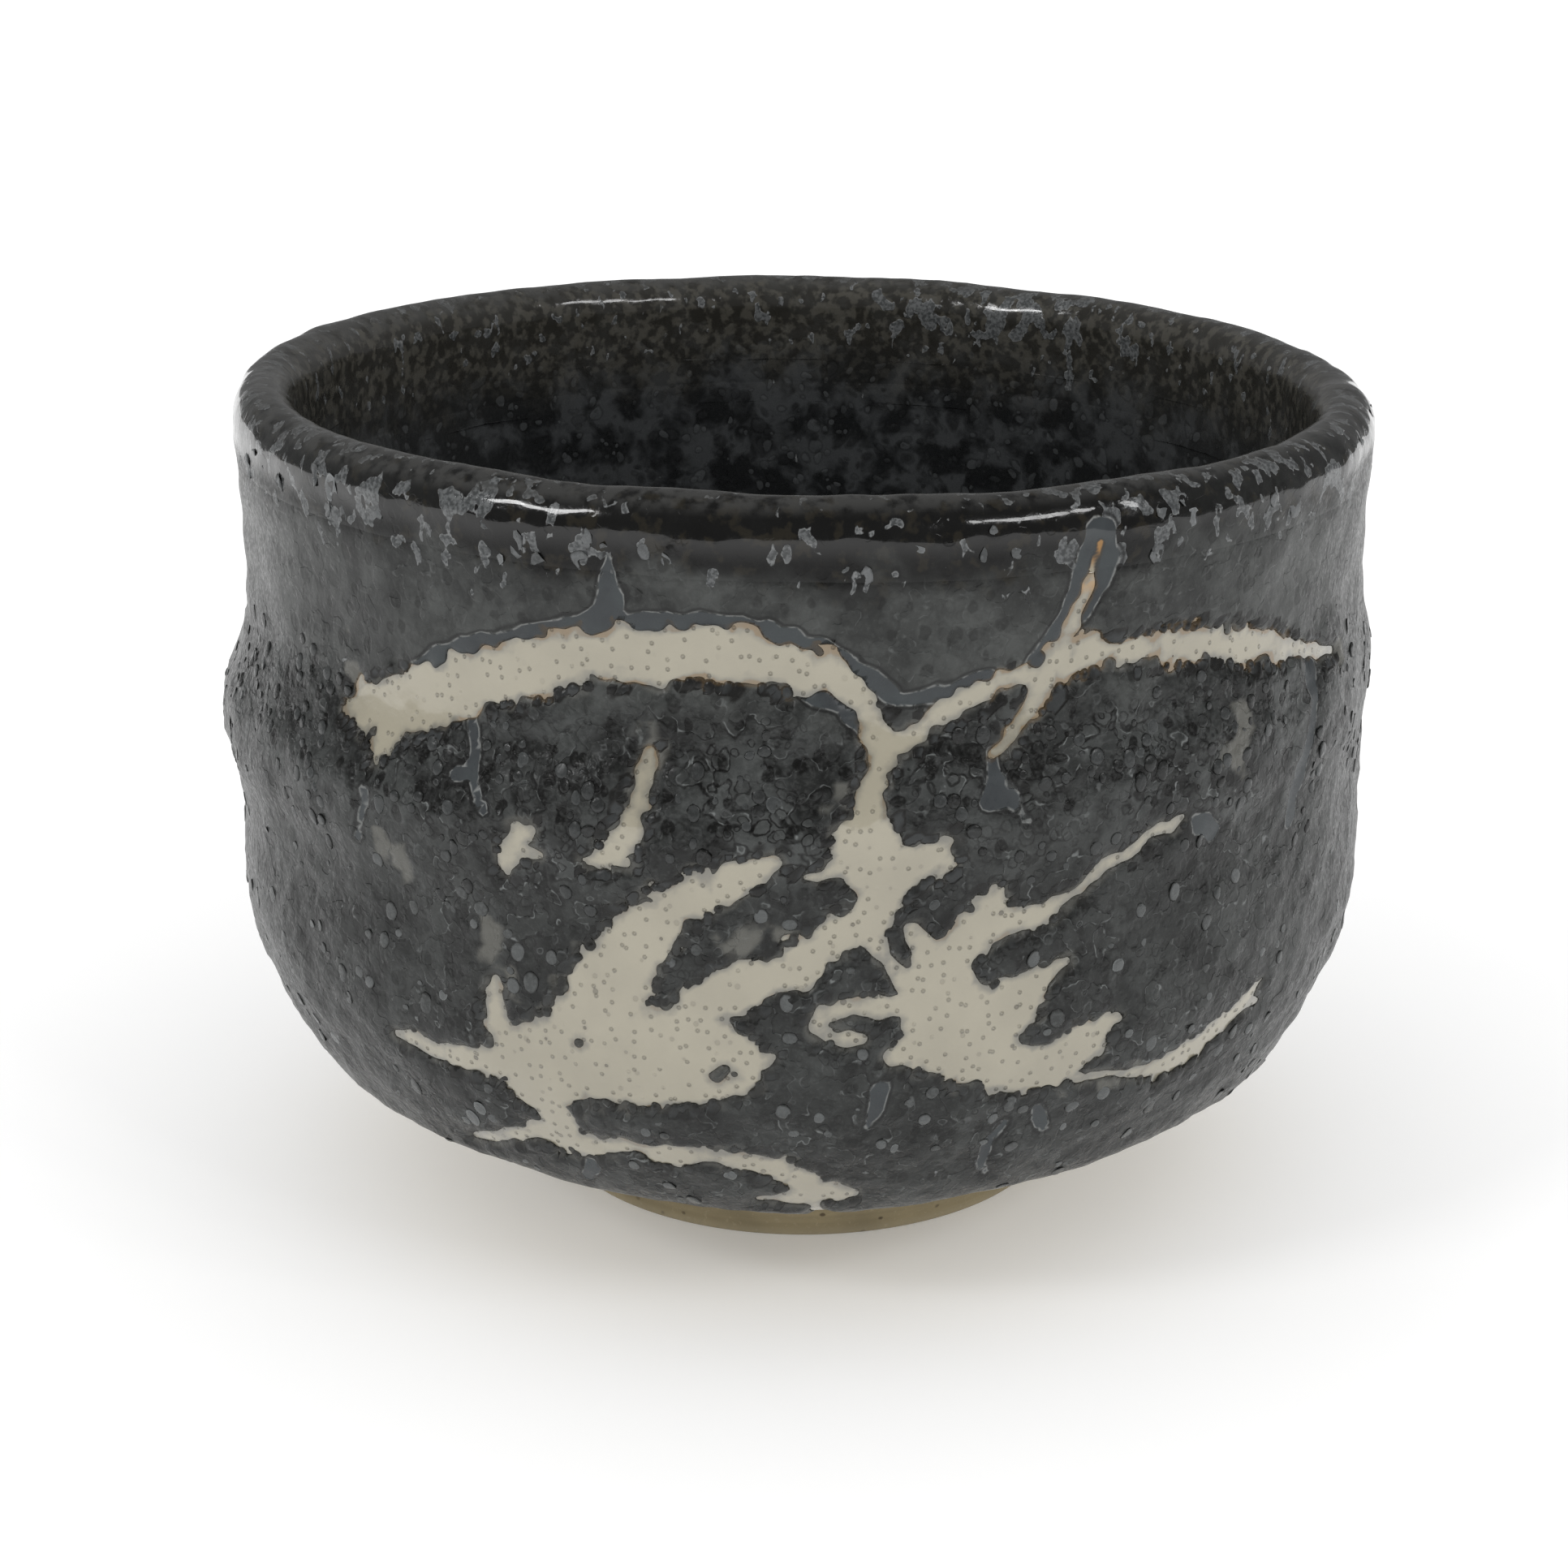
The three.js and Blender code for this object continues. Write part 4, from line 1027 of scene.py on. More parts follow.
def lip_finish(name, settings):
    """The wall's pattern outside, the lining's inside, and a painted grey reflection over the glossy crest.
    """
    tree = Finish(name)
    outer, outer_relief, outer_roughness = outer_wall(tree, settings)
    line = tree.mix(tree.height.ramp(78.5, 80), tuple(settings.cream), (0.3, 0.165, 0.06))
    outer = tree.mix(tree.attribute("mark").ramp(0.12, -0.08) * 0.9, outer, line)
    inner, inner_relief, _ = inner_wall(tree)
    outward = tree.radius.ramp(53.6, 55.4)
    colour = tree.mix(outward, inner, outer)
    crest = tree.height.ramp(84.6, 86)
    crest_noise = tree.noise(tree.point, 1.5, 3)
    # Painted reflection: a grey line along the crest, where the glossy lip would mirror the bright
    # surroundings. The same noise sets the crest's roughness.
    colour = tree.mix(crest * crest_noise.ramp(0.3, 0.6) * 0.7, colour, (0.05, 0.05, 0.048))
    relief = outer_relief * outward + inner_relief * (1 - outward)
    rounded = tree.height.ramp(80.5, 83)
    roughness = outer_roughness * (1 - rounded) + crest_noise.ramp(0.3, 0.7, 0.1, 0.2) * rounded
    coat = rounded * 0.6
    return tree.surface(colour, roughness, relief, 0.12, gloss=0.25, coat=coat, coat_roughness=0.04)


def bead_finish(name, dark, pale, rim):
    """Glossy beads of glaze, each its own shade, with a dark rim, or a painted highlight round the rim of
    the palest.
    """
    tree = Finish(name)
    tone, crown = tree.attribute("shade"), tree.attribute("crown")
    grit = tree.noise(tree.point, 0.4, 2)
    colour = tree.mix(tone, dark, pale)
    colour = tree.mix(grit.ramp(0.4, 0.7) * 0.25, colour, shade(pale, 1.5))
    # Round its base each bead gets a dark rim, but the palest beads get a painted highlight there instead.
    rim_and_highlight = tree.mix(tone.ramp(0.9, 0.95), rim, shade(pale, 1.8))
    colour = tree.mix(crown.ramp(0.62, 0.4) * 0.7, colour, rim_and_highlight)
    return tree.surface(colour, grit.ramp(0.3, 0.7, 0.2, 0.34), grit, 0.04, gloss=0.3)


# Beads and crystals, scattered by geometry nodes


def scatter_tree(name, material):
    """Flattened upright blobs on a surface, where its scatter attribute allows, each with its own shade."""
    group = bpy.data.node_groups.new(name, "GeometryNodeTree")
    face = group.interface
    face.new_socket("Geometry", in_out="INPUT", socket_type="NodeSocketGeometry")
    inputs = [("Spacing", 1.2), ("Density", 4e5), ("Smallest", 0.3), ("Largest", 0.8), ("Flatness", 0.25)]
    inputs += [("Stretch", 1.0), ("Wobble", 0.2)]
    for label, default in inputs:
        face.new_socket(label, in_out="INPUT", socket_type="NodeSocketFloat").default_value = default
    face.new_socket("Seed", in_out="INPUT", socket_type="NodeSocketInt")
    face.new_socket("Geometry", in_out="OUTPUT", socket_type="NodeSocketGeometry")
    tree = Tree(group)
    given = tree.node("NodeGroupInput").outputs
    settings = {"data_type": "FLOAT"}
    allowed = tree.node("GeometryNodeInputNamedAttribute", settings, {0: "scatter"}).outputs[0]
    points = tree.node(
        "GeometryNodeDistributePointsOnFaces",
        {"distribute_method": "POISSON"},
        {
            "Mesh": given["Geometry"],
            "Distance Min": given["Spacing"],
            "Density Max": given["Density"],
            "Density Factor": allowed,
            "Seed": given["Seed"],
        },
    ).outputs
    upright = tree.node(
        "FunctionNodeAlignRotationToVector",
        {"axis": "Y", "pivot_axis": "Z"},
        {"Rotation": points["Rotation"], "Factor": 1.0, "Vector": (0, 0, 1)},
    ).outputs[0]
    size = tree.random(given["Smallest"], given["Largest"], given["Seed"])
    tall = tree.random(0.85, given["Stretch"], 5)
    flat = size * Number(tree, given["Flatness"])
    shape = tree.node("ShaderNodeCombineXYZ", None, {0: size, 1: size * tall, 2: flat}).outputs[0]
    ball = tree.node("GeometryNodeMeshIcoSphere", None, {"Radius": 1.0, "Subdivisions": 2}).outputs[0]
    position = tree.node("GeometryNodeInputPosition").outputs[0]
    crown = tree.node("ShaderNodeSeparateXYZ", None, {0: position}).outputs[2]
    blob = tree.node(
        "GeometryNodeStoreNamedAttribute",
        {"data_type": "FLOAT", "domain": "POINT"},
        {"Geometry": ball, "Name": "crown", "Value": crown},
    ).outputs[0]
    placed = tree.node(
        "GeometryNodeInstanceOnPoints",
        None,
        {"Points": points["Points"], "Instance": blob, "Rotation": upright, "Scale": shape},
    ).outputs[0]
    shaded = tree.node(
        "GeometryNodeStoreNamedAttribute",
        {"data_type": "FLOAT", "domain": "INSTANCE"},
        {"Geometry": placed, "Name": "shade", "Value": tree.random(0.0, 1.0, 3)},
    ).outputs[0]
    real = tree.node("GeometryNodeRealizeInstances", None, {0: shaded}).outputs[0]
    noise = tree.node("ShaderNodeTexNoise", None, {"Scale": 900.0, "Detail": 1.0}).outputs[1]
    sideways = {0: tree.vector("SUBTRACT", noise, (0.5,) * 3), "Scale": given["Wobble"]}
    push = tree.node("ShaderNodeVectorMath", {"operation": "SCALE"}, sideways).outputs[0]
    uneven = tree.node("GeometryNodeSetPosition", None, {"Geometry": real, "Offset": push}).outputs[0]
    smooth = tree.node("GeometryNodeSetShadeSmooth", None, {0: uneven}).outputs[0]
    done = tree.node("GeometryNodeSetMaterial", None, {"Geometry": smooth, "Material": material}).outputs[0]
    tree.node("NodeGroupOutput", None, {0: done})
    return group


def scatter(name, surface, allowed, material, seed, **sizes):
    """Runs the scatter tree on a copy of a surface and returns the blobs as one plain mesh object."""
    base = surface.copy()
    base.data = surface.data.copy()
    base.parent = None
    bpy.context.scene.collection.objects.link(base)
    set_attribute(base.data, "scatter", allowed)
    group = scatter_tree(name, material)
    modifier = base.modifiers.new(name, "NODES")
    modifier.node_group = group
    lengths = ("Spacing", "Smallest", "Largest", "Wobble")
    values = {label: size * MM if label in lengths else size for label, size in sizes.items()}
    for item in group.interface.items_tree:
        if item.in_out == "INPUT" and item.name in values:
            modifier[item.identifier] = values[item.name]
        if item.name == "Seed":
            modifier[item.identifier] = seed
    evaluated = base.evaluated_get(bpy.context.evaluated_depsgraph_get())
    mesh = bpy.data.meshes.new_from_object(evaluated)
    base.modifiers.clear()
    bpy.data.objects.remove(base)
    mesh.name = name
    piece = bpy.data.objects.new(name, mesh)
    bpy.context.scene.collection.objects.link(piece)
    return piece


def vertex_vectors(piece, name):
    flat = np.zeros(len(piece.data.vertices) * 3)
    piece.data.vertices.foreach_get(name, flat)
    return flat.reshape(-1, 3)


def vertex_array(piece):
    """A mesh's vertices in millimetres."""
    return vertex_vectors(piece, "co") / MM


def attribute_array(piece, name):
    data = piece.data.attributes[name].data
    values = np.zeros(len(data))
    data.foreach_get("value", values)
    return values


def facing_out(piece):
    """One where a vertex's normal points away from the axis."""
    normal = vertex_vectors(piece, "normal")[:, :2]
    flat = vertex_array(piece)[:, :2]
    radial = flat / np.maximum(np.linalg.norm(flat, axis=1, keepdims=True), 1e-6)
    return (np.einsum("ij,ij->i", normal, radial) > 0.2).astype(float)


# Operators, one for each piece or group of like pieces


class BOWL_OT_clay_body(bpy.types.Operator):
    """Turned clay body, bare and ringed below the glaze line"""

    bl_idname = "bowl.clay_body"
    bl_label = "Clay body"

    def execute(self, context):
        form = Form(context.scene)
        recess = form.luting + form.recess_rise
        ring_inside = form.foot_radius - form.foot_width
        across = np.linspace(0, ring_inside - 2 * form.recess_rise, 26)
        ceiling = recess - form.nub_drop * (1 - smoothstep(0, form.nub_radius, across))
        underside = np.column_stack([across, ceiling])
        shelf = np.column_stack([np.linspace(ring_inside, form.foot_edge, 10), np.full(10, form.luting)])
        bare = form.wall_line(form.luting, BARE_TOP, 46)[1:]
        wall = form.wall_line(BARE_TOP, form.lip_level, 30)[1:]
        lip = form.lip_arc(form.lip_radius, form.inner_radius, form.crest, 12)[1:]
        inside = form.inside_line(form.lip_level, 40)[1:]
        line = np.vstack([underside, shelf, bare, wall, lip, inside])
        recess_rows = len(underside)
        bare_rows = recess_rows + len(shelf) + len(bare)

        def turning(points, row, angle):
            radius = np.hypot(points[..., 0], points[..., 1])
            spiral = 0.09 * np.sin(2 * math.pi * radius / 2.3 + np.radians(angle))
            rings = 0.05 * np.sin(2 * math.pi * points[..., 2] / 1.15) + 0.05 * waves(points, 4, 51)
            on_recess = row < recess_rows - 2
            on_bare = (row > recess_rows + len(shelf)) & (row < bare_rows)
            return np.where(on_recess, spiral, 0) + np.where(on_bare, rings, 0)

        vertices, triangles = loft(form, line, ring_angles(1.6, 1.8), turning)
        material = clay_finish("bare_clay", context.scene.glaze_settings)
        piece = mesh_object("clay_body_turned", vertices, triangles, {}, material)
        finish_piece(piece, "clay_body")
        return {"FINISHED"}


class BOWL_OT_foot_ring(bpy.types.Operator):
    """Turned foot ring with a rubbed standing edge"""

    bl_idname = "bowl.foot_ring"
    bl_label = "Foot ring"

    def execute(self, context):
        form = Form(context.scene)
        inside = form.foot_radius - form.foot_width
        bevel = form.foot_bevel
        corner = np.linspace(0, math.pi / 2, 6)
        lifted = bevel * (1 - np.cos(corner))
        outer_corner = np.column_stack([form.foot_radius - bevel * (1 - np.sin(corner)), lifted])
        inner_corner = np.column_stack([inside + bevel * (1 - np.sin(corner)), lifted])[::-1]
        standing = np.linspace(inside + bevel, form.foot_radius - bevel, 16)[1:-1]
        bottom = np.column_stack([standing, np.zeros(14)])
        rise = np.linspace(bevel, form.foot_height, 14)[1:]
        lean = form.foot_flare * ((rise - bevel) / (form.foot_height - bevel)) ** 1.6
        outside = np.column_stack([form.foot_radius + lean, rise])
        top = np.column_stack([np.linspace(form.foot_edge, inside, 10)[1:], np.full(9, form.foot_height)])
        inner = np.column_stack([np.full(12, inside), np.linspace(form.foot_height, bevel, 14)[1:-1]])
        line = np.vstack([bottom, outer_corner, outside, top, inner, inner_corner[:-1]])

        def turning(points, row, angle):
            height = points[..., 2]
            rings = 0.04 * np.sin(2 * math.pi * height / 0.9) + 0.03 * waves(points, 3, 61)
            below_top = smoothstep(form.foot_height, form.foot_height - 0.5, height)
            return rings * (smoothstep(0.5, 1.0, height) * below_top)

        vertices, triangles = loft(form, line, ring_angles(1.2, 1.2), turning)
        material = clay_finish("foot_clay", context.scene.glaze_settings)
        piece = mesh_object("foot_ring_turned", vertices, triangles, {}, material)
        finish_piece(piece, "foot_ring")
        return {"FINISHED"}


class BOWL_OT_ground_glaze(bpy.types.Operator):
    """Cream ground coat that shows in the brush marks"""

    bl_idname = "bowl.ground_glaze"
    bl_label = "Ground glaze"

    def execute(self, context):
        form = Form(context.scene)
        angles = ring_angles(0.8, 2.0)
        clay_line = form.wall_line(COAT_START, form.band_level, 96)
        line = offset(clay_line, form.outer_stack - form.ground_drop)
        height = line[:, 1][:, None] + np.zeros(len(angles))
        edge = glaze_line(angles)[None, :] - 0.5
        facing = normals(line)
        base = height - height[0]
        start = edge - line[0, 1]
        level = line[0, 1] + (start + base * (1 - start / base[-1:]))
        every_row = np.arange(len(line))
        row_at = np.interp(level, line[:, 1], every_row)
        radius = np.interp(row_at, every_row, line[:, 0])
        across = [np.interp(row_at, every_row, facing[:, i]) for i in (0, 1)]
        points = form.place(radius, level, angles[None, :])
        thin = np.sqrt(1 - (1 - np.clip((level - edge) / 0.9, 0, 1)) ** 2)
        lift = ground_relief(points) - 0.3 * (1 - thin)
        front = form.place(radius + across[0] * lift, level + across[1] * lift, angles[None, :])
        sunk = -0.35 - 0 * lift
        back = form.place(radius + across[0] * sunk, level + across[1] * sunk, angles[None, :])
        marks, *_ = mark_fields(form, points, angles[None, :] + 0 * level, level)
        rows, columns = level.shape
        shared = np.zeros((rows, columns), bool)
        shared[0] = shared[-1] = True
        vertices, triangles, source = shell(front, back, grid_triangles(rows, columns), shared.reshape(-1))
        material = cream_finish("cream_ground", context.scene.glaze_settings)
        attributes = {"mark": marks.reshape(-1)[source]}
        piece = mesh_object("ground_glaze_coat", vertices, triangles, attributes, material)
        finish_piece(piece, "ground_glaze")
        return {"FINISHED"}


def shell(front, back, triangles, shared):
    """A closed skin from two faces, which meet at the shared vertices, and each vertex's source."""
    front, back = front.reshape(-1, 3), back.reshape(-1, 3)
    own = np.flatnonzero(~shared)
    index = np.arange(len(front))
    index[own] = len(front) + np.arange(len(own))
    vertices = np.vstack([front, back[own]])
    faces = np.vstack([triangles, index[triangles][:, ::-1]])
    return vertices, faces, np.concatenate([np.arange(len(front)), own])


class BOWL_OT_outer_glaze(bpy.types.Operator):
    """Charcoal outer coat, open where the wax was brushed"""

    bl_idname = "bowl.outer_glaze"
    bl_label = "Outer glaze"

    def execute(self, context):
        form = Form(context.scene)
        angles = ring_angles(0.74, 1.9)
        line = offset(form.wall_line(COAT_START, form.band_level + 1.2, 98), form.outer_stack)
        facing = normals(line)
        turn = np.radians(angles)[None]
        spread = np.zeros((len(line), len(angles)))
        parts = [line[:, :1], line[:, 1:], facing[:, :1], facing[:, 1:], np.sin(turn), np.cos(turn)]
        data = np.stack([(part + spread).reshape(-1) for part in parts], axis=1)

        def fields_of(data):
            angle = np.degrees(np.arctan2(data[:, 4], data[:, 5]))
            points = form.place(data[:, 0], data[:, 1], angle)
            return angle, mark_fields(form, points, angle, data[:, 1])

        triangles = grid_triangles(*spread.shape)
        for reach in (1.1, 0.42):
            _, (marks, *_) = fields_of(data)
            data, triangles = refine(data, triangles, np.abs(marks) < reach)
        angle, fields = fields_of(data)
        opening = np.minimum(fields[0], data[:, 1] - glaze_line(angle))
        data = np.column_stack([data, *fields, opening])
        data, triangles = clip(data, triangles, data.shape[1] - 1)
        radius, height, across, up, sine, cosine, marks, margins, haze, bead, opening = data.T
        angle = np.degrees(np.arctan2(sine, cosine))
        points = form.place(radius, height, angle)
        filled = 1 - np.exp(-np.maximum(opening, 0) / form.edge_rounding)
        thickness = (form.ground_drop - FILM) * filled
        step = form.margin_step * smoothstep(0, 0.35, margins) * smoothstep(0, 0.8, opening)
        tucked = smoothstep(form.band_level + 1.1, form.band_level - 0.2, height)
        relief = (glaze_relief(points) + step) * np.clip(opening / 1.2, 0, 1) + 0.13 * np.sqrt(bead)
        low = ground_relief(points) - form.ground_drop + FILM
        high = low + thickness + relief - TUCK * (1 - tucked)
        front = form.place(radius + across * high, height + up * high, angle)
        back = form.place(radius + across * low, height + up * low, angle)
        top = height > line[-1, 1] - 1e-3
        vertices, triangles, source = shell(front, back, triangles, (opening <= 1e-9) | top)
        fields = zip(MARK_FIELDS, (marks, margins, haze, bead))
        attributes = {name: np.clip(values, -FAR, FAR)[source] for name, values in fields}
        material = outer_glaze_finish("charcoal_glaze", context.scene.glaze_settings)
        piece = mesh_object("outer_glaze_coat", vertices, triangles, attributes, material)
        finish_piece(piece, "outer_glaze")
        return {"FINISHED"}


class BOWL_OT_lip_glaze(bpy.types.Operator):
    """Near-black band that rolls over the lip"""

    bl_idname = "bowl.lip_glaze"
    bl_label = "Lip glaze"

    def execute(self, context):
        form = Form(context.scene)
        outer, inner = form.lip_radius + form.outer_stack, form.inner_radius - form.inner_stack
        outside = offset(form.wall_line(form.band_level - 1.5, form.lip_level, 16), form.outer_stack)
        arc = form.lip_arc(outer, inner, form.height, 34)[1:]
        inside_levels = np.linspace(form.lip_level, form.inner_band_level - 3, 22)[1:]
        inside = np.column_stack([np.full(len(inside_levels), inner), inside_levels])
        skin = np.vstack([outside, arc, inside])
        back = offset(skin, -0.45)[1:-1][::-3]
        line = np.vstack([skin, back])
        count = len(skin)

        def relief(points, row, angle):
            outer_share = smoothstep(inner, outer, np.hypot(points[..., 0], points[..., 1]))
            level = line[row.astype(int), 1]
            marks, margins, *_ = mark_fields(form, points, angle, level)
            step = form.margin_step * (smoothstep(0, 0.35, margins) - smoothstep(0.15, -0.15, marks))
            outside_melt = glaze_relief(points) + ground_relief(points) + step
            melt = outside_melt * outer_share + lining_relief(points) * (1 - outer_share)
            below = smoothstep(form.band_level + 0.3, form.band_level - 1.2, level)
            tucked_outside = TUCK * below * outer_share
            tucked_inside = TUCK * smoothstep(count - 8, count - 1, row)
            return np.where(row < count, melt - tucked_outside - tucked_inside, 0)

        angles = ring_angles(0.7, 1.2)
        vertices, triangles = loft(form, line, angles, relief)
        level, angle = np.repeat(line[:, 1], len(angles)), np.tile(angles, len(line))
        fields = mark_fields(form, vertices, angle, level)
        indoors = np.hypot(vertices[:, 0], vertices[:, 1]) < form.mid_wall
        attributes = {
            name: np.where(indoors, 0 if name == "bead" else FAR, np.clip(values, -FAR, FAR))
            for name, values in zip(MARK_FIELDS, fields)
        }
        material = lip_finish("lip_glaze", context.scene.glaze_settings)
        piece = mesh_object("lip_glaze_band", vertices, triangles, attributes, material)
        finish_piece(piece, "lip_glaze")
        return {"FINISHED"}


class BOWL_OT_inner_glaze(bpy.types.Operator):
    """Charcoal lining down to the tea pool"""

    bl_idname = "bowl.inner_glaze"
    bl_label = "Inner glaze"

    def execute(self, context):
        form = Form(context.scene)
        clay_line = form.inside_line(form.inner_band_level + 3, 150)
        skin = offset(clay_line, form.inner_stack)
        skin[-1, 0] = 0
        back = offset(clay_line, form.clearance)[::-4]
        back[0, 0] = 0
        line = np.vstack([back, skin])
        first = len(back)

        def relief(points, row, angle):
            near_axis = smoothstep(0, 4, np.hypot(points[..., 0], points[..., 1]))
            sunk = TUCK * smoothstep(form.inner_band_level - 1.5, form.inner_band_level + 3, points[..., 2])
            return np.where(row >= first, lining_relief(points) * near_axis - sunk, 0)

        vertices, triangles = loft(form, line, ring_angles(1.4, 1.5), relief)
        piece = mesh_object("inner_glaze_lining", vertices, triangles, {}, lining_finish("lining_glaze"))
        finish_piece(piece, "inner_glaze")
        return {"FINISHED"}


class BOWL_OT_beads(bpy.types.Operator):
    """Beads of dark glaze that gathered on the belt and lower wall"""

    bl_idname = "bowl.beads"
    bl_label = "Glaze beads"

    def execute(self, context):
        seed = context.scene.glaze_settings.seed
        coat = bpy.data.objects["outer_glaze_coat"]
        points = vertex_array(coat)
        mark, margin = attribute_array(coat, "mark"), attribute_array(coat, "margin")
        open_wall = facing_out(coat) * smoothstep(0.2, 0.7, margin) * smoothstep(0.7, 1.2, mark)
        height = points[:, 2] + 1.5 * waves(points, 12, 72)
        belt = smoothstep(67, 64, height) * smoothstep(46, 52, height)
        low = smoothstep(50, 46, height) * smoothstep(15.5, 18, height)
        gathered = smoothstep(-0.9, 0.6, waves(points, 8, 71))
        near = smoothstep(26, 6, mark)
        dim, pale, rim = (0.009, 0.009, 0.0085), (0.042, 0.045, 0.045), (0.006, 0.006, 0.0055)
        finish = bead_finish("belt_bead_glaze", dim, pale, rim)
        allowed = open_wall * belt * gathered * (0.25 + 0.55 * near)
        beads = scatter(
            "belt_beads", coat, allowed, finish, seed,
            Spacing=1.15, Density=7e5, Smallest=0.3, Largest=0.8, Flatness=0.16, Stretch=1.4, Wobble=0.4,
        )
        finish_piece(beads)
        dim, pale, rim = (0.032, 0.034, 0.033), (0.085, 0.09, 0.09), (0.02, 0.02, 0.019)
        finish = bead_finish("low_bead_glaze", dim, pale, rim)
        allowed = open_wall * low * gathered * smoothstep(14, 4, mark) * 0.6
        blisters = scatter(
            "lower_beads", coat, allowed, finish, seed + 1,
            Spacing=1.5, Density=4e5, Smallest=0.35, Largest=0.85, Flatness=0.13, Stretch=1.4, Wobble=0.35,
        )
        finish_piece(blisters)
        return {"FINISHED"}


class BOWL_OT_crystals(bpy.types.Operator):
    """Silver-grey crystals on the lip and just below it"""

    bl_idname = "bowl.crystals"
    bl_label = "Lip crystals"

    def execute(self, context):
        seed = context.scene.glaze_settings.seed
        band = bpy.data.objects["lip_glaze_band"]
        points = vertex_array(band)
        height = points[:, 2]
        allowed = facing_out(band) * smoothstep(78, 81, height) * smoothstep(85, 83.5, height)
        allowed *= smoothstep(-1.1, 0.9, waves(points, 14, 81))
        finish = bead_finish("crystal_glaze", CRYSTAL_DIM, CRYSTAL_PALE, (0.07, 0.072, 0.072))
        crystals = scatter(
            "lip_crystals", band, allowed, finish, seed + 2,
            Spacing=1.9, Density=2.0e5, Smallest=0.25, Largest=0.85, Flatness=0.06, Stretch=2.0, Wobble=1.1,
        )
        finish_piece(crystals)
        return {"FINISHED"}


class StudioSettings(bpy.types.PropertyGroup):
    """Camera, floor and lights."""

    distance: length("Distance", "Camera in front of the bowl's axis", 317.6)
    rise: length("Rise", "Camera above the table", 150.8)
    pitch: factor("Pitch", "Camera tilt down, in degrees", 19.17)
    focal: factor("Focal length", "Lens on a 36 mm sensor", 70.8)
    shift: factor("Shift", "Sideways shift of the view", -0.0124)
    floor_size: length("Floor size", "Side of the floor", 3000)
    floor_glow: factor("Floor glow", "Light that the paper gives by itself", 0.15)
    sky: factor("Sky", "Strength of the even white surroundings", 1.0)
    sky_in_gloss: factor("Sky in gloss", "Strength of the surroundings in reflections", 0.16)
    left_window: factor("Left window", "Strength of the light on the left", 0.5)
    right_window: factor("Right window", "Strength of the light on the right", 0.5)


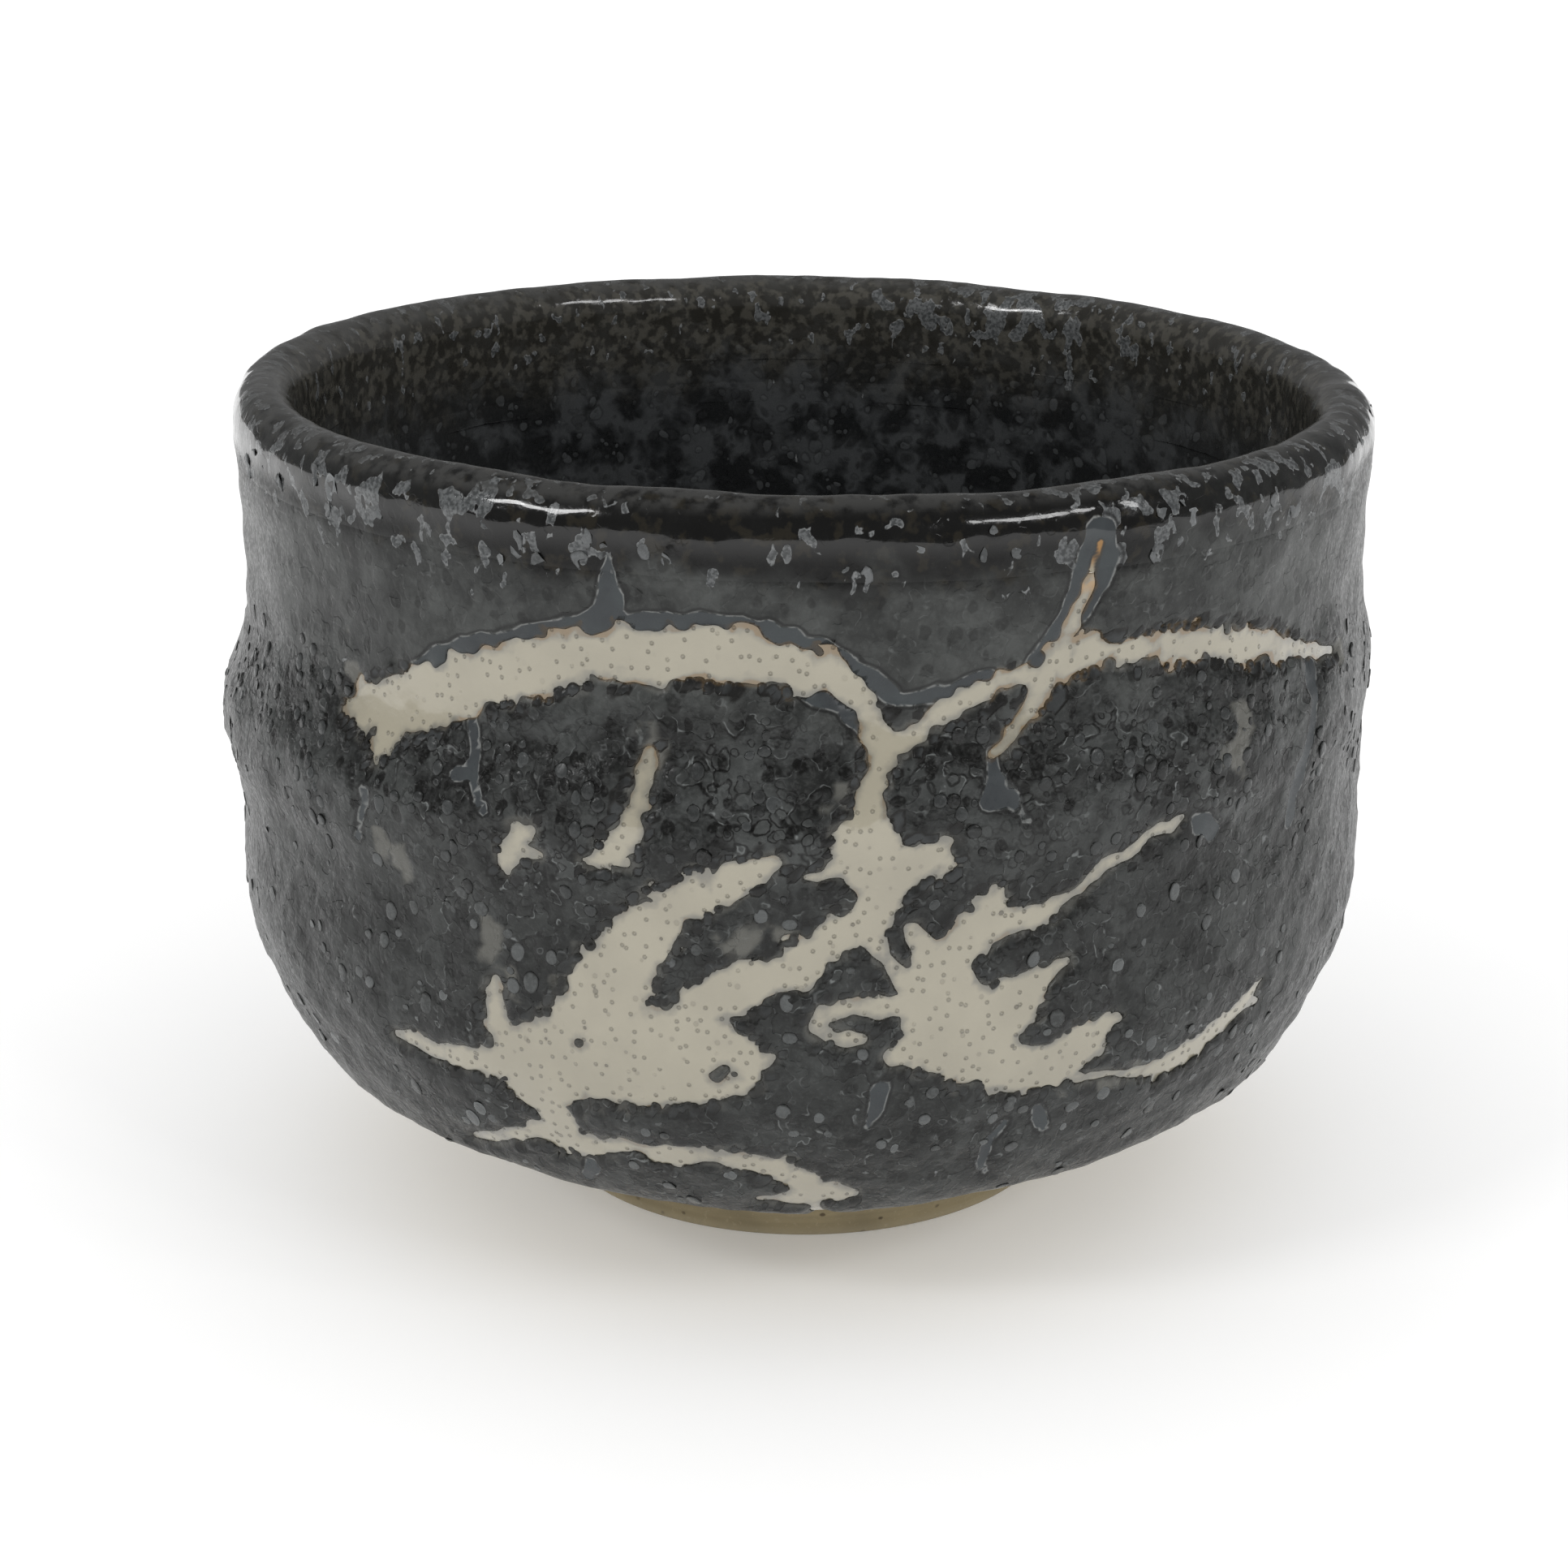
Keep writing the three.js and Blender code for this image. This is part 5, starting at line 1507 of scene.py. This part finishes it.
class BOWL_OT_stage(bpy.types.Operator):
    """Pale floor, soft lights and the camera"""

    bl_idname = "bowl.stage"
    bl_label = "Stage"

    def execute(self, context):
        studio = context.scene.studio_settings
        self.floor(studio)
        self.surroundings(context.scene, studio)
        for name, azimuths, strength in (
            ("left_window", (-60, -52), studio.left_window),
            ("right_window", (40, 51, 62), studio.right_window),
        ):
            for azimuth in azimuths:
                self.window(name, math.radians(azimuth), strength / len(azimuths))
        self.camera(context.scene, studio)
        return {"FINISHED"}

    def floor(self, studio):
        half = studio.floor_size / 2
        mesh = bpy.data.meshes.new("floor")
        corners = [(-half, -half, 0), (half, -half, 0), (half, half, 0), (-half, half, 0)]
        mesh.from_pydata(corners, [], [(0, 1, 2, 3)])
        tree = Finish("floor_paper")
        cloud = tree.noise(tree.point, 60, 2)
        colour = tree.mix(cloud, (0.89, 0.89, 0.89), (0.92, 0.92, 0.92))
        mesh.materials.append(tree.surface(colour, 0.9, cloud, 0.01, glow=studio.floor_glow))
        piece = bpy.data.objects.new("floor", mesh)
        bpy.context.scene.collection.objects.link(piece)

    def surroundings(self, scene, studio):
        world = bpy.data.worlds.new("surroundings")
        world.use_nodes = True
        nodes, links = world.node_tree.nodes, world.node_tree.links
        strength = nodes.new("ShaderNodeMapRange")
        strength.inputs[3].default_value = studio.sky
        strength.inputs[4].default_value = studio.sky_in_gloss
        links.new(nodes.new("ShaderNodeLightPath").outputs["Is Glossy Ray"], strength.inputs[0])
        background = nodes["Background"]
        background.inputs[0].default_value = (1, 1, 1, 1)
        links.new(strength.outputs[0], background.inputs[1])
        scene.world = world
        scene.view_settings.view_transform = "Standard"

    def window(self, name, azimuth, strength):
        """A broad soft light from far off and above, so that the floor is lit evenly."""
        light = bpy.data.lights.new(name, "SUN")
        light.angle = math.radians(8)
        light.energy = strength
        lamp = bpy.data.objects.new(name, light)
        elevation = math.radians(35)
        level = math.cos(elevation)
        towards = Vector((math.sin(azimuth) * level, -math.cos(azimuth) * level, math.sin(elevation)))
        lamp.rotation_euler = towards.to_track_quat("Z", "Y").to_euler()
        bpy.context.scene.collection.objects.link(lamp)

    def camera(self, scene, studio):
        data = bpy.data.cameras.new("camera")
        data.lens = studio.focal
        data.sensor_width = 36
        data.shift_x = studio.shift
        data.clip_start = 0.01
        camera = bpy.data.objects.new("camera", data)
        camera.location = (0, -studio.distance, studio.rise)
        camera.rotation_euler = (math.radians(90 - studio.pitch), 0, 0)
        scene.collection.objects.link(camera)
        scene.camera = camera


class BOWL_PT_panel(bpy.types.Panel):
    """Sizes, finishes and the steps that build the bowl"""

    bl_idname = "BOWL_PT_panel"
    bl_label = "Matcha Bowl"
    bl_space_type = "VIEW_3D"
    bl_region_type = "UI"
    bl_category = "Matcha Bowl"

    def draw(self, context):
        for step in STEPS:
            self.layout.operator(step.bl_idname)
        for group in (getattr(context.scene, name) for name in GROUPS):
            column = self.layout.column()
            for name in group.__annotations__:
                column.prop(group, name)


STEPS = (
    BOWL_OT_clay_body,
    BOWL_OT_foot_ring,
    BOWL_OT_ground_glaze,
    BOWL_OT_outer_glaze,
    BOWL_OT_lip_glaze,
    BOWL_OT_inner_glaze,
    BOWL_OT_beads,
    BOWL_OT_crystals,
    BOWL_OT_stage,
)
GROUPS = {"bowl_sizes": BowlSizes, "glaze_settings": GlazeSettings, "studio_settings": StudioSettings}
CLASSES = (*GROUPS.values(), *STEPS, BOWL_PT_panel)


def register():
    for cls in CLASSES:
        bpy.utils.register_class(cls)
    for name, group in GROUPS.items():
        setattr(bpy.types.Scene, name, PointerProperty(type=group))


def unregister():
    for name in GROUPS:
        delattr(bpy.types.Scene, name)
    for cls in reversed(CLASSES):
        bpy.utils.unregister_class(cls)


def main():
    register()
    bpy.ops.bowl.clay_body()
    bpy.ops.bowl.foot_ring()
    bpy.ops.bowl.ground_glaze()
    bpy.ops.bowl.outer_glaze()
    bpy.ops.bowl.lip_glaze()
    bpy.ops.bowl.inner_glaze()
    bpy.ops.bowl.beads()
    bpy.ops.bowl.crystals()
    bpy.ops.bowl.stage()


if __name__ == "__main__":
    main()
